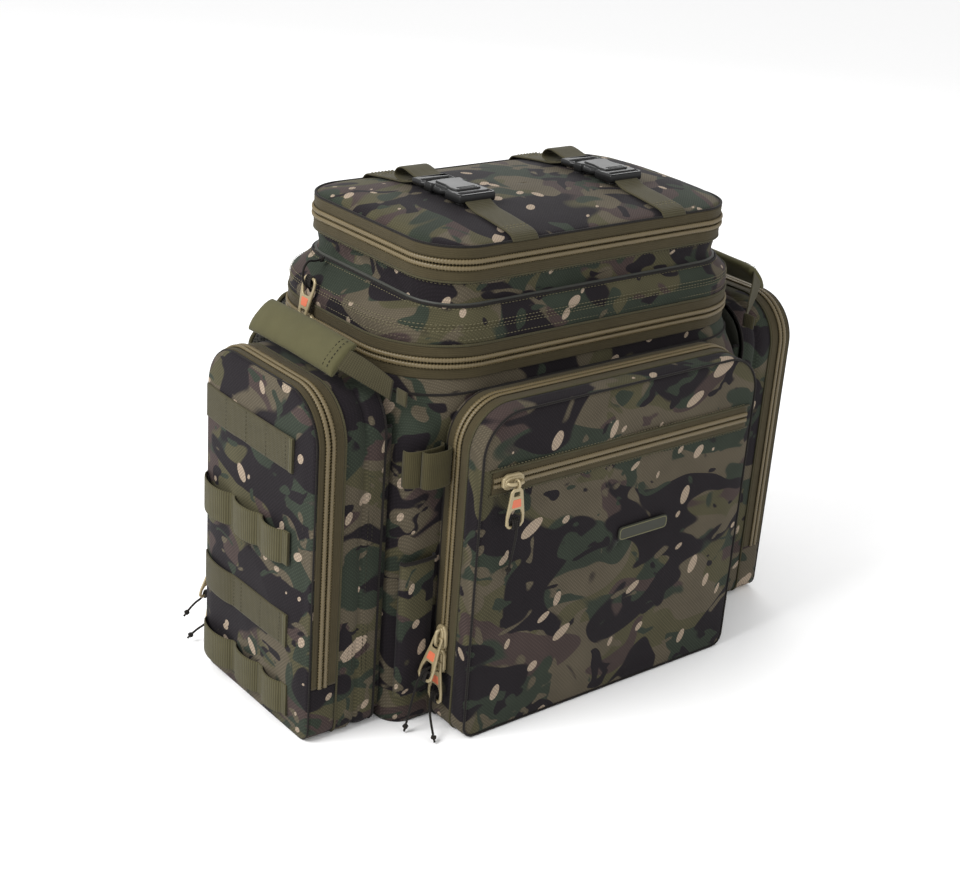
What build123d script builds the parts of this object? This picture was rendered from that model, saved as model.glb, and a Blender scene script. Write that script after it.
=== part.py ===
"""A large tackle backpack that stands on its base: a zipped main compartment under a two-storey lid, a
zipped front pocket and two zipped side pockets whose outer panels fold down, sleeves for bank sticks, side
handles, a haul loop and shoulder straps. Millimetres, +Z up, the front faces -Y, and the origin is on the
ground under the main compartment."""

from build123d import *
from math import pi, radians, tan
import os

# Main compartment
BODY_HALF_W, BODY_FRONT, BODY_REAR, BODY_CORNER_R = 232.0, -140.0, 130.0, 25.0
WALL = 4.0  # padded fabric wall
BODY_TOP, YOKE_HEIGHT = 364.0, 14.0
BASE_BOARD_THICK = 3.0

# Zips: one tape of each pair shows this much, and stands slightly proud of the fabric
TAPE_HEIGHT, TAPE_GAP = 16.2, 0.6
TAPE_PROUD, TAPE_DEEP = 1.5, 2.0

# Lid storey over the main compartment, and the tray on top of it
LID_HALF_W, LID_CORNER_R = 229.0, 85.0
SKIRT_HEIGHT = 35.0
TRAY_HALF_W, TRAY_FRONT, TRAY_REAR, TRAY_CORNER_R = 196.0, -131.0, 113.0, 50.0
TRAY_HEIGHT = 25.0
DOME_RADIUS, DOME_RISE = 744.0, 14.0

# Front pocket
FRONT_HALF_W, FRONT_TOP, FRONT_FACE = 184.0, 350.0, -198.0
FRONT_BASE_Y, FRONT_ZIP_Y, FRONT_DOOR_Y = -145.0, -160.0, -175.0
FRONT_SILL = 62.0
FACE_ZIP_Z, FACE_ZIP_HALF = 280.0, 12.0
FRONT_TOP_R, POCKET_FOOT_R = 45.0, 14.0

# Side pockets, right-hand one; the left one is its mirror image
SIDE_INNER, SIDE_OUTER, SIDE_FRONT, SIDE_REAR, SIDE_TOP = 240.0, 320.0, -121.0, 75.0, 363.0
SIDE_SILL, SIDE_TOP_R = 60.0, 50.0
SIDE_BASE_X, SIDE_ZIP_X = 287.0, 304.0
HINGE_GAP = 0.4

# Webbing
WEB_WIDTH, WEB_THICK = 38.0, 2.0
ROW_HEIGHTS = (299.0, 203.0, 114.0)
LOW_ROW_HEIGHT = 35.0
ROW_FRONT = -90.0

# Lid straps and their side-release buckles
STRAP_X = 98.0
BUCKLE_Z, BUCKLE_HALF_W, BUCKLE_THICK = 505.6, 23.0, 13.0

# Cords on the zip pulls
CORD_DIAMETER, KNOT_DIAMETER, KNOT_LENGTH = 2.4, 5.2, 6.0

os.makedirs("parts", exist_ok=True)


def save(shape, name):
    export_step(shape, f"parts/{name}.step")


def block(x0, x1, y0, y1, z0, z1):
    """A box between two corners."""
    return Pos((x0 + x1) / 2, (y0 + y1) / 2, (z0 + z1) / 2) * Box(x1 - x0, y1 - y0, z1 - z0)


def flip(shape):
    """The same piece on the other side of the backpack."""
    return mirror(shape, about=Plane.YZ)


def plan_prism(half_w, front, rear, corner_r, grow, z0, z1):
    """A rounded rectangle seen from above, grown outwards, standing from z0 to z1."""
    sketch = RectangleRounded(2 * (half_w + grow), rear - front + 2 * grow, corner_r + grow)
    return extrude(Pos(0, (front + rear) / 2, z0) * sketch, amount=z1 - z0)


def body_prism(grow, z0, z1):
    return plan_prism(BODY_HALF_W, BODY_FRONT, BODY_REAR, BODY_CORNER_R, grow, z0, z1)


def lid_prism(grow, z0, z1):
    return plan_prism(LID_HALF_W, BODY_FRONT, BODY_REAR, LID_CORNER_R, grow, z0, z1)


def tray_prism(grow, z0, z1):
    return plan_prism(TRAY_HALF_W, TRAY_FRONT, TRAY_REAR, TRAY_CORNER_R, grow, z0, z1)


def pocket_outline(low_u, high_u, top, top_r, grow):
    """The outline of a pocket seen square on: round at the top, tighter at its foot."""
    width, height = high_u - low_u + 2 * grow, top + 2 * grow
    sketch = Pos((low_u + high_u) / 2, top / 2) * Rectangle(width, height)
    sketch = fillet(sketch.vertices().sort_by(Axis.Y)[-2:], top_r + grow)
    return fillet(sketch.vertices().sort_by(Axis.Y)[:2], POCKET_FOOT_R + grow)


def front_prism(grow, y0, y1):
    sketch = pocket_outline(-FRONT_HALF_W, FRONT_HALF_W, FRONT_TOP, FRONT_TOP_R, grow)
    return extrude(Plane.XZ.offset(-y1) * sketch, amount=y1 - y0)


def side_prism(grow, x0, x1):
    sketch = pocket_outline(SIDE_FRONT, SIDE_REAR, SIDE_TOP, SIDE_TOP_R, grow)
    return extrude(Plane.YZ.offset(x0) * sketch, amount=x1 - x0)


# ---------------------------------------------------------------- main compartment
LID_SEAM = BODY_TOP + TAPE_HEIGHT + TAPE_GAP / 2  # where the two tapes of the main zip meet
LID_TAPE_TOP = LID_SEAM + TAPE_GAP / 2 + TAPE_HEIGHT
BIG = 400.0  # larger than the object, for cutting tools


def main_shell():
    shell = body_prism(0, 0, BODY_TOP) - body_prism(-WALL, WALL, BODY_TOP - YOKE_HEIGHT)
    return shell - lid_prism(-WALL, BODY_TOP - YOKE_HEIGHT, BODY_TOP)


def base_board():
    return body_prism(-WALL - 1.0, WALL, WALL + BASE_BOARD_THICK)


def back_pads():
    """Two upright pads and a lumbar pad on the back panel."""
    thick = 16.0
    upright = Pos(85, BODY_REAR + thick / 2, 215) * Box(110, thick, 190)
    lumbar = Pos(0, BODY_REAR + thick / 2, 75) * Box(300, thick, 70)
    pads = [upright, flip(upright), lumbar]
    return Compound(children=[fillet(p.edges().group_by(Axis.Y)[-1], 6) for p in pads])


# ---------------------------------------------------------------- front pocket
def front_shell():
    return front_prism(0, FRONT_FACE, BODY_FRONT) - front_prism(-WALL, FRONT_FACE + WALL, BODY_FRONT)


def front_tub():
    return front_shell() - block(-BIG, BIG, -BIG, FRONT_BASE_Y, FRONT_SILL, BIG)


def front_tape(y0, y1, sill):
    ring = front_prism(TAPE_PROUD, y0, y1) - front_prism(-TAPE_DEEP, y0, y1)
    return ring - block(-BIG, BIG, -BIG, BIG, -BIG, sill)


def front_door_shell():
    sill = FRONT_SILL + HINGE_GAP
    return front_shell() & block(-BIG, BIG, -BIG, FRONT_DOOR_Y, sill, BIG)


# ---------------------------------------------------------------- side pockets
SIDE_DOOR_X = SIDE_OUTER - WALL


def side_tub():
    shell = side_prism(0, SIDE_INNER, SIDE_OUTER) - side_prism(-WALL, SIDE_INNER + WALL, SIDE_DOOR_X)
    return shell - block(SIDE_BASE_X, BIG, -BIG, BIG, SIDE_SILL, BIG)


def side_tape(x0, x1, sill):
    ring = side_prism(TAPE_PROUD, x0, x1) - side_prism(-TAPE_DEEP, x0, x1)
    return ring - block(0, BIG, -BIG, BIG, -BIG, sill)


def side_door_panel():
    return side_prism(0, SIDE_DOOR_X, SIDE_OUTER) - block(0, BIG, -BIG, BIG, -BIG, SIDE_SILL + HINGE_GAP)


def webbing_row(height):
    """A flat row of attachment webbing across the outer face of a side pocket."""
    return block(SIDE_OUTER, SIDE_OUTER + WEB_THICK, ROW_FRONT, SIDE_REAR - 4,
                 height - WEB_WIDTH / 2 + 1, height + WEB_WIDTH / 2 - 1)


def sleeve():
    """The channel for a bank stick between the main compartment and a side pocket."""
    low, high = 14.0, 320.0
    front_web = block(BODY_HALF_W, SIDE_INNER, SIDE_FRONT + 4, SIDE_FRONT + 8, low, high)
    rear_web = block(BODY_HALF_W, SIDE_INNER, SIDE_REAR - 7, SIDE_REAR - 3, low, high)
    floor = block(BODY_HALF_W, SIDE_INNER, SIDE_FRONT + 4, SIDE_REAR - 3, low, low + 4)
    return front_web + rear_web + floor


def slot_pocket():
    """The narrow flat pocket on the front corner, open at its top."""
    outer = block(190, 231, BODY_FRONT - 8, BODY_FRONT, 37, 186)
    return outer - block(192, 229, BODY_FRONT - 6.5, BODY_FRONT - 1.5, 39, 186)


def rod_loops():
    """Two elastic loops above the slot pocket, one in front of the other."""

    def loop(x0, x1, y1, depth):
        wall = 1.6
        size_x, height = x1 - x0, WEB_WIDTH
        ring = SlotOverall(size_x, depth) - SlotOverall(size_x - 2 * wall, depth - 2 * wall)
        return extrude(Pos((x0 + x1) / 2, y1 - depth / 2, 268) * ring, amount=height)

    return [loop(190, 234, BODY_FRONT, 12), loop(190, 220, BODY_FRONT - 12.2, 10)]


# ---------------------------------------------------------------- lid
DECK_TOP = LID_TAPE_TOP + SKIRT_HEIGHT
TRAY_SEAM = DECK_TOP + TRAY_HEIGHT + TAPE_HEIGHT + TAPE_GAP / 2
PANEL_BASE = TRAY_SEAM + TAPE_GAP / 2 + TAPE_HEIGHT
DOME_TOP = PANEL_BASE + DOME_RISE
DOME_Y = (TRAY_FRONT + TRAY_REAR) / 2


def lid_shell():
    skirt = lid_prism(0, LID_TAPE_TOP, DECK_TOP) - lid_prism(-WALL, LID_TAPE_TOP, DECK_TOP - WALL)
    tray_top = DECK_TOP + TRAY_HEIGHT
    return skirt + tray_prism(0, DECK_TOP, tray_top) - tray_prism(-WALL, DECK_TOP, tray_top)


def lid_zip_tapes():
    low, high = LID_TAPE_TOP - TAPE_HEIGHT, LID_TAPE_TOP
    skirt = lid_prism(TAPE_PROUD, low, high) - lid_prism(-TAPE_DEEP, low, high)
    low, high = DECK_TOP + TRAY_HEIGHT, DECK_TOP + TRAY_HEIGHT + TAPE_HEIGHT
    tray = tray_prism(TAPE_PROUD, low, high) - tray_prism(-TAPE_DEEP, low, high)
    return [skirt, tray]


def dome(radius):
    """A long cylinder whose top is the crown of the lid."""
    axis_at = Location((0, DOME_Y, DOME_TOP - DOME_RADIUS), (0, 90, 0))
    return axis_at * Cylinder(radius, 2 * BIG)


def top_panel():
    outer = tray_prism(0, PANEL_BASE, DOME_TOP + 1) & dome(DOME_RADIUS)
    return outer - (tray_prism(-WALL, PANEL_BASE - 1, DOME_TOP + 1) & dome(DOME_RADIUS - WALL))


def top_zip_tape():
    low, high = PANEL_BASE - TAPE_HEIGHT, PANEL_BASE
    return tray_prism(TAPE_PROUD, low, high) - tray_prism(-TAPE_DEEP, low, high)


def lid_strap(y0, y1):
    """Webbing that lies on the crown of the lid between y0 and y1."""
    strip = block(STRAP_X - WEB_WIDTH / 2, STRAP_X + WEB_WIDTH / 2, y0, y1, PANEL_BASE, DOME_TOP + 9)
    return strip & (dome(DOME_RADIUS + WEB_THICK) - dome(DOME_RADIUS + 0.1))


def buckle_socket():
    """The female half, with the front strap's slot at its front end and windows for the prongs."""
    z0, z1 = BUCKLE_Z, BUCKLE_Z + BUCKLE_THICK
    half = BUCKLE_HALF_W
    body = block(-half, half, -44, 2, z0, z1) - block(-19, 19, -36, 2, z0 + 2.2, z1 - 2.2)
    body -= block(-half, half, -33, -12, z0 + 3, z1 - 3)
    frame = block(-half, half, -58, -44, z0, z1 - 5) - block(-20, 20, -54, -48, z0, z1)
    return Pos(STRAP_X, 0, 0) * (body + frame)


def buckle_plug():
    """The male half: a slotted frame, a centre guide and two prongs."""
    z0, z1 = BUCKLE_Z + 0.8, BUCKLE_Z + BUCKLE_THICK - 0.8
    frame = block(-BUCKLE_HALF_W, BUCKLE_HALF_W, 2.6, 24, z0, z1) - block(-20, 20, 10, 17, z0, z1)
    guide = block(-2.5, 2.5, -26, 3, z0 + 2.4, z1 - 2.4)
    prong = block(11, 16, -30, 3, z0 + 2.4, z1 - 2.4) + block(15, 18.4, -31, -19, z0 + 2.4, z1 - 2.4)
    return Pos(STRAP_X, 0, 0) * (frame + guide + prong + mirror(prong, about=Plane.YZ))


# ---------------------------------------------------------------- handles and straps
LEG_X, LEG_Z = BODY_HALF_W + 5.0, 360.0
GRIP_X, GRIP_Z, GRIP_FRONT, GRIP_REAR, GRIP_TILT = 277.0, 390.0, -95.0, 46.0, -45.0
LEG_FRONT, LEG_REAR = -122.0, 92.0


def side_handle():
    """A padded grip that stands off the body, with a webbing leg to the body at each end."""

    def section(x, y, z, tilt, thick, width):
        return Location((x, y, z)) * Rot(0, tilt, 0) * (Plane.XZ * Rectangle(thick, width))

    def leg(y_body, y_grip):
        body_end = section(LEG_X, y_body, LEG_Z, 0, 2, 18)
        grip_end = section(GRIP_X, y_grip, GRIP_Z, GRIP_TILT, 3, 34)
        return loft([body_end, grip_end]) if y_body < y_grip else loft([grip_end, body_end])

    middle = (GRIP_X, (GRIP_FRONT + GRIP_REAR) / 2, GRIP_Z)
    grip = Location(middle) * Rot(0, GRIP_TILT, 0) * Box(7, GRIP_REAR - GRIP_FRONT, 38)
    grip = fillet(grip.edges().filter_by(Axis.Y), 3)
    return [leg(LEG_FRONT, GRIP_FRONT), grip, leg(LEG_REAR, GRIP_REAR)]


STRAP_Y, STRAP_THICK = 134.0, 13.0  # the shoulder straps hang just behind the back panel


def shoulder_pad():
    """A contoured shoulder strap pad that hangs behind the back panel."""
    outline = [(58, 374), (128, 374), (190, 368), (230, 325), (236, 270), (222, 190), (205, 118),
               (150, 118), (165, 200), (172, 270), (160, 312), (120, 322), (58, 322)]
    sketch = make_face(Polyline(*outline, close=True))
    corners = sketch.vertices().sort_by(Axis.X)[:2]
    sketch = fillet([v for v in sketch.vertices() if v not in corners], 9)
    return extrude(Plane.XZ.offset(-STRAP_Y - STRAP_THICK) * sketch, amount=STRAP_THICK)


def ladder_lock():
    """The adjuster at the lower end of a shoulder strap."""
    y0, y1 = STRAP_Y + 3, STRAP_Y + 10
    frame = block(153, 202, y0, y1, 88, 117.6)
    return frame - block(158, 197, y0, y1, 93, 99) - block(158, 197, y0, y1, 104, 110)


def haul_loop():
    """The loop over the back panel by which the backpack is lifted."""
    low, high, half = 352.0, 377.0, 52.0
    loop = block(-half, half, STRAP_Y, STRAP_Y + 8, low, high)
    loop = fillet(loop.edges().filter_by(Axis.Y).sort_by(Axis.Z)[-2:], 12)
    return loop - block(-half + 16, half - 16, STRAP_Y, STRAP_Y + 8, low, high - 8)


def sewn_webbing():
    """Webbing sewn to the fixed part: handle anchors, lowest pocket rows, strap roots and strap tails."""
    anchor_front = block(BODY_HALF_W, LEG_X - 1.6, -139, SIDE_FRONT - 3, LEG_Z - 12, LEG_Z + 3)
    anchor_rear = block(BODY_HALF_W, LEG_X - 1.6, 80, 104, LEG_Z - 12, LEG_Z + 3)
    strap_root = block(62, 124, BODY_REAR, STRAP_Y - 0.4, 330, 362)
    haul_root = block(37, 51, BODY_REAR, STRAP_Y + 5, 330, 351.6)
    tail = block(160, 195, BODY_REAR, BODY_REAR + 2, 30, 86)
    right = [anchor_front, anchor_rear, webbing_row(LOW_ROW_HEIGHT), strap_root, haul_root, tail]
    return right + [flip(piece) for piece in right]


# ---------------------------------------------------------------- zip sliders and their pulls
SLIDER_HALF, SLIDER_WIDTH = 13.0, 16.0
PLATE_LOW, PLATE_TOP, BAR_LOW, BAR_TOP = 0.5, 5.0, 9.0, 12.0  # heights above the tape
BAR_HALF, BAR_HALF_W = 8.5, 2.2
PULL_LENGTH, PULL_NECK, PULL_WIDTH, PULL_THICK = 46.0, 15.0, 22.0, 2.2
PIN_HEIGHT, EYE_HEIGHT = 7.0, (BAR_LOW + BAR_TOP) / 2


def slider():
    """A slider that lies on local Z = 0 and runs along local X, with a bridge over its middle."""
    footprint = Pos(0, 0, PLATE_LOW) * RectangleRounded(2 * SLIDER_HALF, SLIDER_WIDTH, 6)
    plate = extrude(footprint, PLATE_TOP - PLATE_LOW)
    post = block(BAR_HALF - 3, BAR_HALF, -BAR_HALF_W, BAR_HALF_W, PLATE_TOP - 0.5, BAR_TOP)
    bar = block(-BAR_HALF, BAR_HALF, -BAR_HALF_W, BAR_HALF_W, BAR_LOW, BAR_TOP)
    return plate + post + mirror(post, about=Plane.YZ) + bar


def pull_tab(start, height):
    """The flat tab of a pull towards local -X, widest at its end, with a large eye for the cord."""
    half_neck, half_end = PULL_NECK / 2, PULL_WIDTH / 2
    outline = [(-start, -half_neck), (-start, half_neck), (-PULL_LENGTH + 12, half_end),
               (-PULL_LENGTH, half_end - 4), (-PULL_LENGTH, 4 - half_end), (-PULL_LENGTH + 12, -half_end)]
    eye = Pos(-PULL_LENGTH + 12, 0) * RectangleRounded(18, 14, 5)
    sketch = make_face(Polyline(*outline, close=True)) - eye
    return extrude(Pos(0, 0, height - PULL_THICK / 2) * sketch, amount=PULL_THICK)


def pull_along():
    """A pull that hangs along the chain: a pin under the bridge, two legs round its post, and the tab."""
    pin = Location((0, 0, PIN_HEIGHT), (90, 0, 0)) * Cylinder(1.1, 12)
    half = PULL_THICK / 2
    low, high = PIN_HEIGHT - half, PIN_HEIGHT + half
    legs = [block(-12, 1, side * 5.9 - 1.2, side * 5.9 + 1.2, low, high) for side in (-1, 1)]
    return pin + legs[0] + legs[1] + pull_tab(10.6, PIN_HEIGHT)


def pull_across():
    """A pull that hangs across the chain, towards local -Y: an eye round the bridge, and the tab."""
    ring = Cylinder(4.9, 3) - Cylinder(3.2, 3)
    return Location((0, 0, EYE_HEIGHT), (0, 90, 0)) * ring + Rot(0, 0, 90) * pull_tab(4.4, EYE_HEIGHT)


def leaning(pull, height, axis, angle):
    """A pull turned about its own pivot line."""
    return pull.rotate(Axis((0, 0, height), axis), angle)


def on_face(x, z):
    """Local X to +X and local Z outwards from the front pocket's face."""
    return Location(Plane(origin=(x, FRONT_FACE - 1.4, z), x_dir=(1, 0, 0), z_dir=(0, -1, 0)))


def on_wall(x, y, z, chain):
    """Local X along the chain and local Z outwards from a side wall."""
    return Location(Plane(origin=(x, y, z), x_dir=chain, z_dir=(1 if x > 0 else -1, 0, 0)))


def on_rear_gusset(x, z):
    """Local X up and local Z towards +Y, on the back edge of a side pocket."""
    return Location(Plane(origin=(x, SIDE_REAR + TAPE_PROUD, z), x_dir=(0, 0, 1), z_dir=(0, 1, 0)))


# ---------------------------------------------------------------- cords
def arc_radii(points):
    """The largest arc that each corner of the route allows."""
    radii = []
    for before, at, after in zip(points, points[1:], points[2:]):
        run_in, run_out = Vector(*at) - Vector(*before), Vector(*after) - Vector(*at)
        half_turn = radians(run_in.get_angle(run_out)) / 2
        radii.append(0.45 * min(run_in.length, run_out.length) / tan(half_turn))
    return radii


def cord(name, points):
    """A cord along its route with a knot at its end, saved as two solids that meet face to face."""
    route = FilletPolyline(*points, radius=arc_radii(points))
    start = Plane(origin=points[0], z_dir=Vector(*points[1]) - Vector(*points[0]))
    tube = sweep(start * Circle(CORD_DIAMETER / 2), path=route)
    end = Plane(origin=points[-1], z_dir=Vector(*points[-1]) - Vector(*points[-2]))
    knot = extrude(end * Circle(KNOT_DIAMETER / 2), amount=KNOT_LENGTH)
    share = tube.volume / (route.length * pi * (CORD_DIAMETER / 2) ** 2)
    tightest = min(arc_radii(points))
    print(f"{name}: {route.length:.1f} mm long, smallest arc {tightest:.1f} mm, fill {share:.3f}")
    save(Compound(children=[tube, knot]), name)


CORD_ROUTES = {
    "face_cord": [(-150, -205.5, 244), (-150, -213.5, 242), (-150, -214, 226), (-149, -209.5, 206),
                  (-148, -205, 188)],
    "front_upper_cord": [(-200.3, -160, 71), (-213, -160, 67), (-218, -158, 45), (-221, -156, 22),
                         (-223, -155, 9.5)],
    "front_lower_cord": [(-188, -160, 40), (-198, -160, 37), (-203, -166, 24), (-207, -176, 13),
                         (-209, -182, 7)],
    "lid_cord": [(-230.7, 30, 410), (-231.2, 30, 414), (-239.5, 30, 419), (-238, 34, 432), (-229, 38, 439.5),
                 (-218, 43, 435.6), (-210, 46, 435.2)],
    "left_upper_cord": [(-304, 89.5, 68), (-304, 99, 65), (-308, 105, 54), (-313, 112, 46), (-317, 117, 36)],
    "left_lower_cord": [(-304, 79.6, 39), (-305, 89, 36), (-309, 97, 26), (-313, 105, 18), (-316, 110, 11)],
}

# ---------------------------------------------------------------- write every node
save(main_shell(), "main_shell")
save(base_board(), "base_board")
save(back_pads(), "back_pads")
save(front_tub(), "front_tub")
save(side_tub(), "right_tub")
save(flip(side_tub()), "left_tub")

main_tape = lid_prism(TAPE_PROUD, BODY_TOP, BODY_TOP + TAPE_HEIGHT)
main_tape -= lid_prism(-TAPE_DEEP, BODY_TOP, BODY_TOP + TAPE_HEIGHT)
right_fixed_tape = side_tape(SIDE_BASE_X, SIDE_ZIP_X - 0.4, SIDE_SILL)
front_fixed_tape = front_tape(FRONT_ZIP_Y + 0.4, FRONT_BASE_Y, FRONT_SILL)
fixed_tapes = [main_tape, front_fixed_tape, right_fixed_tape, flip(right_fixed_tape)]
save(Compound(children=fixed_tapes), "fixed_zip_tapes")

save(Compound(children=[sleeve(), flip(sleeve())]), "sleeve_webs")
save(Compound(children=[slot_pocket(), flip(slot_pocket())]), "slot_pockets")
save(Compound(children=rod_loops() + [flip(piece) for piece in rod_loops()]), "rod_loops")
save(Compound(children=sewn_webbing()), "sewn_webbing")

save(lid_shell(), "lid_shell")
save(Compound(children=lid_zip_tapes()), "lid_zip_tapes")

save(top_panel(), "top_panel")
save(top_zip_tape(), "top_zip_tape")
straps = [lid_strap(TRAY_FRONT + 2, -60), lid_strap(34, TRAY_REAR - 2)]
save(Compound(children=straps + [flip(piece) for piece in straps]), "lid_straps")
save(Compound(children=[buckle_socket(), flip(buckle_socket())]), "buckle_sockets")
save(buckle_plug(), "right_buckle_plug")
save(flip(buckle_plug()), "left_buckle_plug")

save(front_door_shell(), "front_door_shell")
face_zip_low, face_zip_high = FACE_ZIP_Z - FACE_ZIP_HALF, FACE_ZIP_Z + FACE_ZIP_HALF
face_tape = block(-172, 172, FRONT_FACE - 1.4, FRONT_FACE, face_zip_low, face_zip_high)
door_tape = front_tape(FRONT_DOOR_Y, FRONT_ZIP_Y - 0.4, FRONT_SILL + HINGE_GAP)
save(Compound(children=[door_tape, face_tape]), "front_door_zip_tapes")
badge = extrude(Plane.XZ.offset(-FRONT_FACE) * Pos(32, 186) * RectangleRounded(68, 15, 5), amount=2.2)
save(badge, "badge")

for side, place in (("right", lambda piece: piece), ("left", flip)):
    save(place(side_door_panel()), f"{side}_door_panel")
    save(place(side_tape(SIDE_ZIP_X + 0.4, SIDE_DOOR_X, SIDE_SILL + HINGE_GAP)), f"{side}_door_zip_tape")
    save(Compound(children=[place(webbing_row(height)) for height in ROW_HEIGHTS]), f"{side}_door_webbing")
    save(Compound(children=[place(piece) for piece in side_handle()]), f"{side}_handle")
    save(place(shoulder_pad()), f"{side}_shoulder_pad")
    save(place(ladder_lock()), f"{side}_ladder_lock")
save(haul_loop(), "haul_loop")

UP, BACK = (0, 0, 1), (0, 1, 0)
STACK_LEAN, LID_LEAN, TRAY_LEAN = -20.0, 13.0, -31.0
stacked = leaning(pull_along(), PIN_HEIGHT, (0, 1, 0), -STACK_LEAN)
on_lid = leaning(pull_across(), EYE_HEIGHT, (1, 0, 0), LID_LEAN)
on_tray = leaning(pull_across(), EYE_HEIGHT, (1, 0, 0), TRAY_LEAN)
lid_wall_x, front_wall_x = -LID_HALF_W - TAPE_PROUD, -FRONT_HALF_W - TAPE_PROUD
tray_wall_x = TRAY_HALF_W + TAPE_PROUD
LOWER_Z, UPPER_Z = 75.5, 102.0  # the two sliders of a pocket, one above the other
places = {
    "face": (on_face(-150, FACE_ZIP_Z), pull_across()),
    "front_upper": (on_wall(front_wall_x, FRONT_ZIP_Y, UPPER_Z, UP), stacked),
    "front_lower": (on_wall(front_wall_x, FRONT_ZIP_Y, LOWER_Z, UP), pull_along()),
    "lid": (on_wall(lid_wall_x, 30, LID_SEAM, BACK), on_lid),
    "tray": (on_wall(tray_wall_x, 48, TRAY_SEAM, BACK), on_tray),
    "left_upper": (on_rear_gusset(-SIDE_ZIP_X, UPPER_Z), stacked),
    "left_lower": (on_rear_gusset(-SIDE_ZIP_X, LOWER_Z), pull_along()),
    "right_upper": (on_rear_gusset(SIDE_ZIP_X, UPPER_Z), stacked),
    "right_lower": (on_rear_gusset(SIDE_ZIP_X, LOWER_Z), pull_along()),
}
for name, (place, pull) in places.items():
    save(place * slider(), f"{name}_slider")
    save(place * pull, f"{name}_pull")
for name, points in CORD_ROUTES.items():
    cord(name, points)
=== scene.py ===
"""The tackle backpack's visual model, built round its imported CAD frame. The bag faces -Y and stands on Z = 0. Its
shapes are written in millimetres, and new_piece turns them into metres."""

import math
import bmesh
import bpy
import numpy as np
from mathutils import Matrix, Quaternion, Vector, noise


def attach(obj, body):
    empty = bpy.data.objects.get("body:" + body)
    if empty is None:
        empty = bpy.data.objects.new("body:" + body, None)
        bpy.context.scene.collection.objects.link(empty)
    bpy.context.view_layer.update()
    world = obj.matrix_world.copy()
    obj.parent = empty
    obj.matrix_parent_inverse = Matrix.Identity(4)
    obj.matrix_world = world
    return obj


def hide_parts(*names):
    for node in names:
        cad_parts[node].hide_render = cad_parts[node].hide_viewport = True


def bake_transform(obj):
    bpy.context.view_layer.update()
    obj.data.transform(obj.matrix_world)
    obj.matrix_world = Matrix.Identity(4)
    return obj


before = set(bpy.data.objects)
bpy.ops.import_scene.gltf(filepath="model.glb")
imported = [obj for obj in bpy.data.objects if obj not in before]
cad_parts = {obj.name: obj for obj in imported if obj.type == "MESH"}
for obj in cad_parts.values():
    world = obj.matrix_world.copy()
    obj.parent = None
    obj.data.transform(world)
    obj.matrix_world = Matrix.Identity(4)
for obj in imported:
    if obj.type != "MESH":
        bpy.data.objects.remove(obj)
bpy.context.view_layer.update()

MM = 0.001
scene = bpy.context.scene

# ------------------------------------------------------------------ camera
AZIMUTH, ELEVATION, ROLL = math.radians(-39.9), math.radians(23.1), math.radians(4.3)
CAMERA_AT = (-1.1176, -1.3070, 0.9455)
SENSOR_WIDTH, LENS = 36, 63.97


def make_camera():
    back = Vector((math.sin(AZIMUTH) * math.cos(ELEVATION), -math.cos(AZIMUTH) * math.cos(ELEVATION),
                   math.sin(ELEVATION)))
    camera = bpy.data.objects.new("camera", bpy.data.cameras.new("camera"))
    scene.collection.objects.link(camera)
    camera.rotation_mode = "QUATERNION"
    camera.rotation_quaternion = (-back).to_track_quat("-Z", "Y") @ Quaternion((0, 0, 1), ROLL)
    camera.location = CAMERA_AT
    camera.data.sensor_width, camera.data.lens = SENSOR_WIDTH, LENS
    scene.camera = camera


make_camera()

# ------------------------------------------------------------------ materials


def srgb(red, green, blue):
    """A colour as it looks on a screen, 0 to 255, as linear light."""
    return tuple((c / 255 / 12.92 if c < 11 else ((c / 255 + 0.055) / 1.055) ** 2.4) for c in (red, green, blue)) + (1,)


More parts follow.
